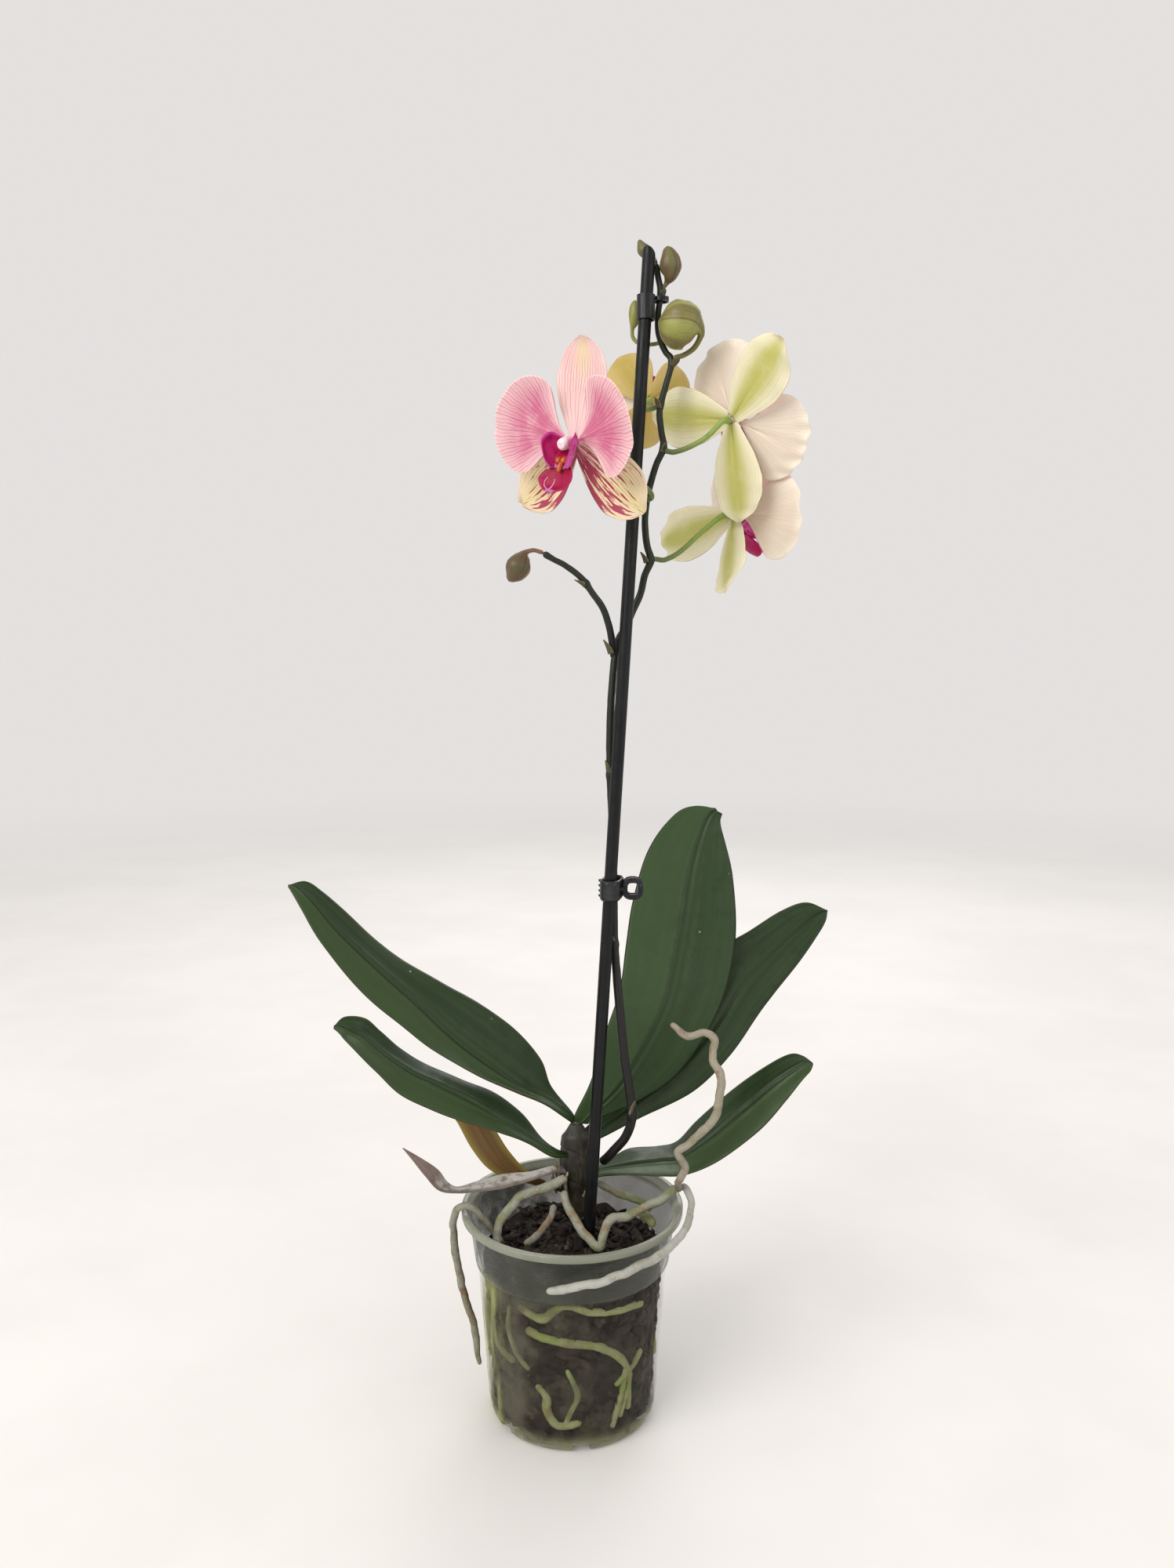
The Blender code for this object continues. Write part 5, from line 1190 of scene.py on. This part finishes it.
def lip_parts(small):
    """The lip in flower axes: two ears, each a fan from the trough's rim that bulges outwards;
    the tongue, widest near its root and drawn to an upturned point; the trough below the
    column; two hairs at the tip. All are blades over middle surfaces of two parameters."""
    t, v = np.linspace(0, 1, 40)[:, None], np.linspace(-1, 1, 33)[None]
    ears, thin = [], 0.35 * np.sqrt(np.clip(1 - np.abs(v) ** 6, 0, 1)) + 0.02 + 0 * t
    for g in (-1, 1):
        share = (v + 1) / 2
        root = np.array([1.4 * g, -4.2, 5.0]) + share[..., None] * np.array([1.4 * g, -7.8, 6.5])
        rim = through([(5.2 * g, 4.4, 6.4), (9.2 * g, 5.6, 11.0), (10.4 * g, 1.0, 15.4),
                       (9.0 * g, -6.0, 16.8), (5.6 * g, -12.0, 15.4)],
                      np.clip(share[0] * 4, 0, 4))[None]
        reach = t * (0.55 + 0.45 * np.sin(math.pi * (0.10 + 0.80 * share)) ** 0.7)
        middle = root + (rim - root) * reach[..., None]
        middle = middle + (4 * t * (1 - t * 0.75))[..., None] * np.array([1.25 * g, 0, 0])
        middle = middle - (2.4 * g * ease(t, 0.55, 1.0) ** 1.5)[..., None] * np.array([1, 0, 0])
        middle[..., 0] += 0.25 * np.sin(v * 9 + t * 5)
        body = thin * np.sqrt(np.clip(1 - t**14, 0, 1)) + 0.02
        ears.append(blade((middle * small)[:, ::-g], body[:, ::-g], body[:, ::-g], v, t))
    spine = through([(0, -10.5, 9.5), (0, -13.8, 11.2), (-0.2, -17.3, 12.4), (-0.8, -20.4, 14.2),
                     (-1.6, -21.9, 16.8), (-2.2, -21.9, 19.6)], np.linspace(0, 5, 40))
    wide = through([[w] * 3 for w in (3.2, 6.0, 9.0, 10.0, 7.8, 4.6, 2.2, 0.5)],
                   np.interp(t[:, 0], [0, 0.12, 0.26, 0.42, 0.62, 0.8, 0.93, 1],
                             np.arange(8)))[:, :1]
    bend = 0.10 - 0.20 * ease(t, 0.0, 0.45)
    across = wide * v
    hollow = -0.055 * across**2 * (0.6 + 0.4 * t) + 0.5 * np.cos(v * 7) * 0.15
    middle = spine[:, None] + np.stack([across, bend * np.abs(across) - 0.35 * hollow,
                                        -0.9 * hollow], -1)
    body = thin * np.sqrt(np.clip(1 - t**20, 0, 1)) * 1.5 + 0.03
    tongue = blade(middle * small, body, body, v, t)
    floor = through([(0, -3.6, 4.2), (0, -5.4, 7.2), (0, -8.4, 9.6), (0, -12.5, 11.2)],
                    np.linspace(0, 3, 40))
    wall = np.interp(t, [0, 0.3, 0.7, 1], [1.6, 3.4, 4.0, 3.2]) * v
    trough = floor[:, None] + np.stack([wall, 0.10 * wall**2, 0.14 * wall**2], -1)
    trough = blade(trough * small, 1.7 * thin, 1.7 * thin, v, t)
    hairs = [sweep(path([(x * small, y * small, z * small, r) for x, y, z, r in hair], 0.3), 10)
             for hair in LIP_HAIRS]
    return ears, [tongue, trough], hairs


def grown(rows, small):
    """Points and radii of a path, scaled."""
    return [tuple(c * small for c in row) for row in rows]


def callus_and_column(small):
    """Two knuckles and a ridge between the ears, and the column with its rounded cap: all are
    sweeps in flower axes."""
    knuckles = [[(1.6 * g, -8.2, 8.8, 0.6), (1.8 * g, -8.0, 10.4, 1.5),
                 (1.5 * g, -8.4, 12.0, 1.6), (1.0 * g, -9.2, 13.0, 0.7)] for g in (-1, 1)]
    ridge = [(0, -8.6, 9.6, 0.8), (0, -10.2, 12.0, 1.4), (0, -12.0, 13.2, 1.3),
             (0, -13.8, 13.8, 0.5)]
    rod = [(0, 0.2, 0.5, 1.8), (0, 0.1, 3, 2.1), (0, 0.4, 6, 2.5), (0, 0.8, 8.2, 2.7),
           (0, 0.9, 9.6, 2.4)]
    cap = [(0, -0.9, 7.6, 1.6), (0, -0.9, 9.0, 2.8), (0, -0.6, 10.6, 3.0), (0, -0.3, 12.0, 2.3),
           (0, -0.2, 12.9, 0.9)]
    bumps = [sweep(path(grown(rows, small), 0.25), 28, 0.05, 3, seed)
             for rows, seed in zip((*knuckles, ridge, rod, cap), (60, 61, 62, 70, 71))]
    return bumps[:3], bumps[3:4], bumps[4:]


def flowers():
    """Four flowers of seven pieces each, every piece worked out in its flower's own axes."""
    vein, cream = (0.34, 0.040, 0.130), (0.76, 0.68, 0.57)
    leafy, lime = (0.73, 0.68, 0.47), (0.47, 0.455, 0.120)
    petal = petal_skin("petal_skin", (0.66, 0.190, 0.320), (0.57, 0.140, 0.245),
                       (0.79, 0.55, 0.54), vein, cream, (0.73, 0.62, 0.51), count=5.0)
    sepal = petal_skin("dorsal_sepal_skin", (0.77, 0.54, 0.54), (0.73, 0.48, 0.46),
                       (0.78, 0.56, 0.53), (0.46, 0.11, 0.18), leafy, lime,
                       eye=(0.68, 0.62, 0.28))
    side = petal_skin("side_sepal_skin", (0.74, 0.50, 0.44), (0.74, 0.62, 0.36),
                      (0.78, 0.66, 0.46), (0.46, 0.12, 0.14), leafy, lime, stripes=0.95,
                      eye=(0.70, 0.66, 0.26))
    ochre = petal_skin("ochre_sepal_skin", (0.74, 0.58, 0.30), (0.70, 0.50, 0.22),
                       (0.72, 0.58, 0.32), (0.40, 0.03, 0.06), (0.52, 0.385, 0.125),
                       (0.43, 0.315, 0.055), stripes=0.5)
    ear_velvet = lip_skin("lip_ear_velvet", (0.46, 0.004, 0.125), (0.28, 0.002, 0.035),
                          (0.56, 0.10, 0.36), (0.50, 0.04, 0.24))
    velvet = lip_skin("lip_velvet", (0.38, 0.001, 0.056), (0.27, 0.001, 0.020),
                      (0.42, 0.006, 0.12), (0.50, 0.18, 0.52))
    hair = wax_skin("lip_hair", (0.70, 0.34, 0.52), (0.60, 0.10, 0.34), (0.5, 0.05, 0.2), 0.2)
    callus = wax_skin("lip_callus", (0.46, 0.055, 0.012), (0.56, 0.14, 0.022),
                      (0.30, 0.004, 0.015), 0.6)
    wax = wax_skin("column_wax", (0.80, 0.52, 0.60), (0.74, 0.28, 0.50), (0.60, 0.08, 0.30), 0.25)
    cap_wax = wax_skin("cap_wax", (0.86, 0.72, 0.72), (0.80, 0.50, 0.60), (0.62, 0.20, 0.42), 0.15)
    stalk_skin = stem_skin("stalk_skin", (0.25, 0.34, 0.075), (0.085, 0.12, 0.035),
                           (0.36, 0.42, 0.16), 0.40)
    for k, (name, spec) in enumerate(FLOWERS.items()):
        axes = flower_axes(spec["face"], spec["turn"])
        heart = np.array(spec["heart"], float)
        small = SMALL_FLOWER if name == "rear" else 1.0
        start = "flower_" + name + "_"

        def put(tag, shapes, finish, slot, *replaces):
            for shape in shapes:
                shape[0] = heart + shape[0] @ axes
            piece(start + tag, shapes, finish, slot, *replaces)

        for j, (tag, kind, angle) in enumerate(SEGMENTS):
            middle, rim, s, t = segment(kind, spec, angle, 100 * k + 10 * j)
            inner = -s if tag == "left_sepal" else s
            finish = petal if kind == "petal" else sepal if angle == 0 else side
            if name == "rear" and kind == "sepal":
                finish = ochre
            slot = "petal_pink" if kind == "petal" or name == "front" else "sepal_green"
            put(tag + "_skin", [blade(middle, rim, rim, inner, t)], finish, slot, start + tag)
        ears, lip, hairs = lip_parts(small)
        bumps, rod, cap = callus_and_column(small)
        put("lip_tongue", lip, velvet, "lip_magenta", start + "lip")
        put("lip_ears", ears, ear_velvet, "lip_magenta")
        put("lip_hairs", hairs, hair, "lip_magenta")
        put("lip_callus", bumps, callus, "lip_magenta")
        put("column_rod", rod, wax, "petal_pink")
        put("column_cap", cap, cap_wax, "petal_pink")
        points = [(*p, 1.35) for p in spec["stalk"]]
        points += [(*(heart + np.array(m[:3], float) @ axes), m[3])
                   for m in ((0, 0, -7, 1.5), (0, 0, -3, 1.8), (0, 0, -0.6, 2.2))]
        line = path(points, 0.6)
        line[:, 3] *= 1 + 0.35 * bell(np.linspace(0, 1, len(line)), 0.03, 0.04)
        piece(start + "stalk", [sweep(line, 18, 0.03, 4, 80 + k)], stalk_skin, "stem_green",
              start + "column")


# ------------------------------------------------------------------ roots
ROOTS = {
    "root_arch": [(-3, 4, 127, 2.6), (-13, 2, 122.5, 2.8), (-26, -2, 120, 2.7),
        (-33, -7, 115.5, 2.7), (-38, -11, 110.5, 2.6), (-40, -13, 104, 2.5), (-40, -14, 96, 2.3)],
    "root_zigzag": [(-5, 5, 119, 2.3), (-3, 1, 114, 2.4), (2, -5, 106, 2.5), (9, -12, 100, 2.5),
        (14, -17, 97, 2.4), (17, -11, 103, 2.5), (21.5, -4.5, 107.5, 2.6), (30, -2.5, 107.5, 2.6),
        (38, 0.5, 111, 2.6), (47, 1, 114.8, 2.6), (53, 3, 118.8, 2.5), (57.6, 5.2, 120.6, 2.4)],
    "root_climbing": [(58.5, 6, 119.4, 2.4), (57, -2, 126, 2.4), (58, -8, 132, 2.4),
        (60.5, -10, 139, 2.4), (58, -12, 144, 2.4), (56, -13, 148.5, 2.4), (61, -13.5, 153, 2.4),
        (69, -14, 161, 2.6), (75.5, -14, 168.5, 2.7), (77.5, -13, 177, 2.6), (79, -9, 189, 2.7),
        (75, -4, 196, 2.5), (76.5, 1, 205.5, 2.4), (71, 3, 209, 2.3), (62, 4, 207, 2.3),
        (53, 5, 213, 1.8)],
    "root_over_rim": [(59.6, 5.6, 121.4, 2.3), (62.4, 1.5, 121, 2.3), (64.4, -6, 117.4, 2.3),
        (60.8, -21, 112.6, 2.3), (53.8, -33.6, 110, 2.4), (46, -43.4, 108, 2.5),
        (36.2, -51, 107, 2.5), (20.3, -58.3, 103.2, 2.5), (4.7, -60.6, 100.5, 2.5),
        (-6, -60.6, 98.6, 2.4), (-12.1, -60, 97.2, 1.7)],
    "root_brown": [(-10, 3, 112, 2), (-12, 0, 106, 2), (-17, -6, 101, 2), (-25, -15, 98, 1.9)],
    "root_grey_right": [(14, 18, 118, 2.3), (24, 16, 113, 2.3), (36, 14, 109, 2.2),
        (44, 12.5, 104, 2)],
    "root_hanging_left": [(-38, -9, 97, 2), (-45, -11, 107, 2.1), (-52, -12.5, 117, 2.2),
        (-59, -13, 118.6, 2.3), (-62.6, -12.3, 114.5, 2.2), (-63.8, -9, 100, 2.4),
        (-62.5, -6, 85, 2.4), (-60, -3, 67, 2.3), (-57, -2, 55, 2.3), (-53.6, -5, 46, 2.2),
        (-52, -7, 35, 2.1), (-50.4, -10, 27, 1.3)],
    "root_stub": [(37, 9, 103, 2.4), (42, 7, 101.5, 2.8), (45, 3, 99.5, 2)],
}
WALL_ROOTS = {
    "wall_root_upper": [(-125, 78, 2), (-109, 74, 2.3), (-101, 79, 2.3), (-93, 83, 2.2),
        (-79, 79, 2.2), (-66, 77, 2.2), (-52, 76, 2.1), (-35, 74, 1.9)],
    "wall_root_middle": [(-120, 66, 1.9), (-110, 64, 2.3), (-94, 62, 2.3), (-74, 59, 2.3),
        (-58, 50, 2.3), (-50, 40, 2.1), (-48, 26, 2), (-48, 14, 1.8)],
    "wall_root_low": [(-114, 36, 1.8), (-107, 30, 2.2), (-107, 22, 2.3), (-101, 15, 2.3),
        (-92, 15, 2.1), (-81, 18, 1.8)],
    "wall_root_left": [(-145, 84, 2), (-151, 68, 2.2), (-154, 53, 2.2), (-141, 46, 2.1),
        (-128, 44, 1.8)],
}
THIN_WALL_ROOTS = [
    [(-93, 47, 1.2), (-88, 38, 1.5), (-86, 31, 1.6), (-91, 22, 1.3), (-95, 14, 1.1)],
    [(-60, 34, 1.3), (-52, 38, 1.6), (-44, 42, 1.7), (-36, 49, 1.5)],
    [(-52, 42, 1.5), (-54, 30, 1.7), (-58, 18, 1.8), (-62, 8, 1.4)],
    [(-47, 38, 1.3), (-51, 26, 1.5), (-56, 12, 1.5)],
    [(-132, 76, 1.2), (-134, 62, 1.4), (-128, 50, 1.4), (-116, 42, 1.2)],
    [(40, 80, 1.8), (48, 66, 2.1), (60, 58, 2), (66, 44, 1.9), (60, 28, 1.6)],
    [(118, 74, 1.8), (108, 60, 2.1), (112, 44, 2), (128, 36, 1.9), (138, 20, 1.6)],
    [(165, 70, 1.7), (176, 58, 2), (190, 50, 2), (196, 34, 1.7)],
    [(0, 62, 1.7), (10, 52, 2), (8, 38, 2), (-6, 26, 1.8)],
]


def settled(line):
    """Lifts a root's points above the bark, and draws them in from the collar's inner face."""
    line = line.copy()
    out = np.hypot(line[:, 0], line[:, 1])
    floor = bark_top(line[:, 0], line[:, 1]) + line[:, 3] + 1.2
    line[:, 2] = np.where(out < inner_r(COLLAR_LOW_Z - 1) - 1, np.maximum(line[:, 2], floor),
                          line[:, 2])
    limit = inner_r(np.minimum(line[:, 2], POT_H - 3)) - line[:, 3] - 0.5
    near = (out < RIM_R - 3) & (line[:, 2] > 80) & (line[:, 2] < POT_H + line[:, 3])
    line[:, :2] *= np.where(near & (out > limit), limit / np.maximum(out, 1), 1.0)[:, None]
    return line


def on_wall(points):
    """Turns angle, height and radius into a line that touches the pot's inner wall."""
    p = np.array(points, float)
    fine = through(p, np.linspace(0, len(p) - 1, 12 * len(p)))
    r = inner_r(fine[:, 1]) - fine[:, 2] - 0.35
    a = np.radians(fine[:, 0])
    return np.stack([r * np.cos(a), r * np.sin(a), fine[:, 1], fine[:, 2]], 1)


def knobbly(line, seed):
    """A root: a sweep whose line wanders a little, with long swellings and short knuckles."""
    line = line.copy()
    p = line[:, :3]
    shift = np.stack([lumps(p, 9, seed + i, 6) for i in range(3)], 1)
    inner = ease(np.minimum(np.arange(len(p)), np.arange(len(p))[::-1]) * 1.0, 0, 8)
    line[:, :3] += 0.25 * shift * inner[:, None]
    line[:, 3] *= 1 + 0.05 * lumps(p, 15, seed + 5, 6) + 0.025 * lumps(p, 5, seed + 6, 6)
    return sweep(line, 26, 0.05, 3.4, seed + 7)


def roots():
    """Roots in the air, in five finishes, and roots pressed against the pot's inner wall."""
    silver = root_skin("silver_root_skin", (0.33, 0.325, 0.265), (0.20, 0.22, 0.105),
                       (0.26, 0.17, 0.085))
    chalky = root_skin("chalky_root_skin", (0.42, 0.415, 0.375), (0.33, 0.33, 0.275),
                       (0.27, 0.235, 0.17), 0.10)
    weathered = root_skin("weathered_root_skin", (0.32, 0.285, 0.225), (0.24, 0.215, 0.140),
                          (0.23, 0.120, 0.070), 0.2)
    brown = root_skin("brown_root_skin", (0.27, 0.26, 0.21), (0.16, 0.15, 0.09),
                      (0.20, 0.115, 0.055))
    green = root_skin("green_root_skin", (0.26, 0.28, 0.13), (0.18, 0.22, 0.060),
                      (0.20, 0.17, 0.07), 0.25)
    skins = {"root_over_rim": chalky, "root_brown": brown, "root_hanging_left": brown,
             "root_stub": green, "root_climbing": weathered}
    for k, (name, points) in enumerate(ROOTS.items()):
        free = name in ("root_over_rim", "root_hanging_left", "root_climbing")
        line = path(points, 0.7) if free else settled(path(points, 0.7))
        line[:, 3] *= 0.86 if free else 0.94
        slot = "root_green" if name == "root_stub" else "root_grey"
        piece(name + "_skin", [knobbly(line, 200 + 20 * k)], skins.get(name, silver), slot,
              name)
    for k, (name, points) in enumerate(WALL_ROOTS.items()):
        line = path(on_wall(points)[::4], 0.7)
        line[:, 3] *= 1 + 0.10 * lumps(line[:, :3], 9, 400 + k)
        piece(name + "_skin", [sweep(line, 22, 0.05, 3.5, 410 + k)], green, "root_green", name)
    thin = [sweep(path(on_wall(points)[::4], 0.8), 16, 0.06, 3.0, 430 + k)
            for k, points in enumerate(THIN_WALL_ROOTS)]
    piece("thin_wall_roots", thin, green, "root_green")


# ------------------------------------------------------------------ studio
# Lamps: place, aim, size, power in watts, colour
LAMPS = (("window", (-1.25, -1.35, 1.45), (0, 0, 0.30), 1.4, 31, (1.0, 0.985, 0.96)),
         ("fill", (1.5, -0.9, 0.9), (0, 0, 0.30), 1.2, 6, (0.97, 0.98, 1.0)),
         ("back", (0.3, 1.5, 1.4), (0, 0, 0.35), 1.2, 12, (1.0, 0.99, 0.98)))


def studio():
    """Pale floor that fades out, soft daylight from the front left, a weak fill from the right,
    a light behind, a pale sky and the camera."""
    mesh = bpy.data.meshes.new("floor")
    w = TAU * np.arange(96) / 96
    mesh.from_pydata(about_z(FLOOR_R, w, 0).tolist(), [], [list(range(96))])
    floor = bpy.data.objects.new("floor", mesh)
    f = Finish("studio_floor")
    away = f.add("VectorMath", {0: f.place}, "Value", operation="LENGTH")
    pale = f.mix(f.mottle(260.0), (0.72, 0.70, 0.675), (0.76, 0.74, 0.715))
    mesh.materials.append(f.done(pale, 0.75, alpha=f.rise(away, *FLOOR_FADE)))
    bpy.context.scene.collection.objects.link(floor)
    for name, spot, aim, size, power, colour in LAMPS:
        lamp = bpy.data.lights.new(name, "AREA")
        lamp.size, lamp.energy, lamp.color = size, power, colour
        obj = bpy.data.objects.new(name, lamp)
        bpy.context.scene.collection.objects.link(obj)
        obj.location = spot
        obj.rotation_euler = (Vector(aim) - Vector(spot)).to_track_quat("-Z", "Y").to_euler()
    world = bpy.data.worlds.new("studio")
    bpy.context.scene.world = world
    world.use_nodes = True
    sky = world.node_tree.nodes["Background"]
    sky.inputs["Color"].default_value = (0.90, 0.875, 0.86, 1.0)
    sky.inputs["Strength"].default_value = 0.86
    camera = bpy.data.cameras.new("camera")
    camera.lens, camera.sensor_width = 27.05, 36.0
    eye = bpy.data.objects.new("camera", camera)
    bpy.context.scene.collection.objects.link(eye)
    eye.location = (0.008, -0.613, 0.411)
    eye.rotation_euler = (math.radians(83.75), 0, 0)
    bpy.context.scene.camera = eye
    bpy.context.scene.view_settings.view_transform = "Standard"


studio()
grower_pot()
fill_pot()
stake_and_clips()
leaves()
crown()
spike_and_buds()
flowers()
roots()
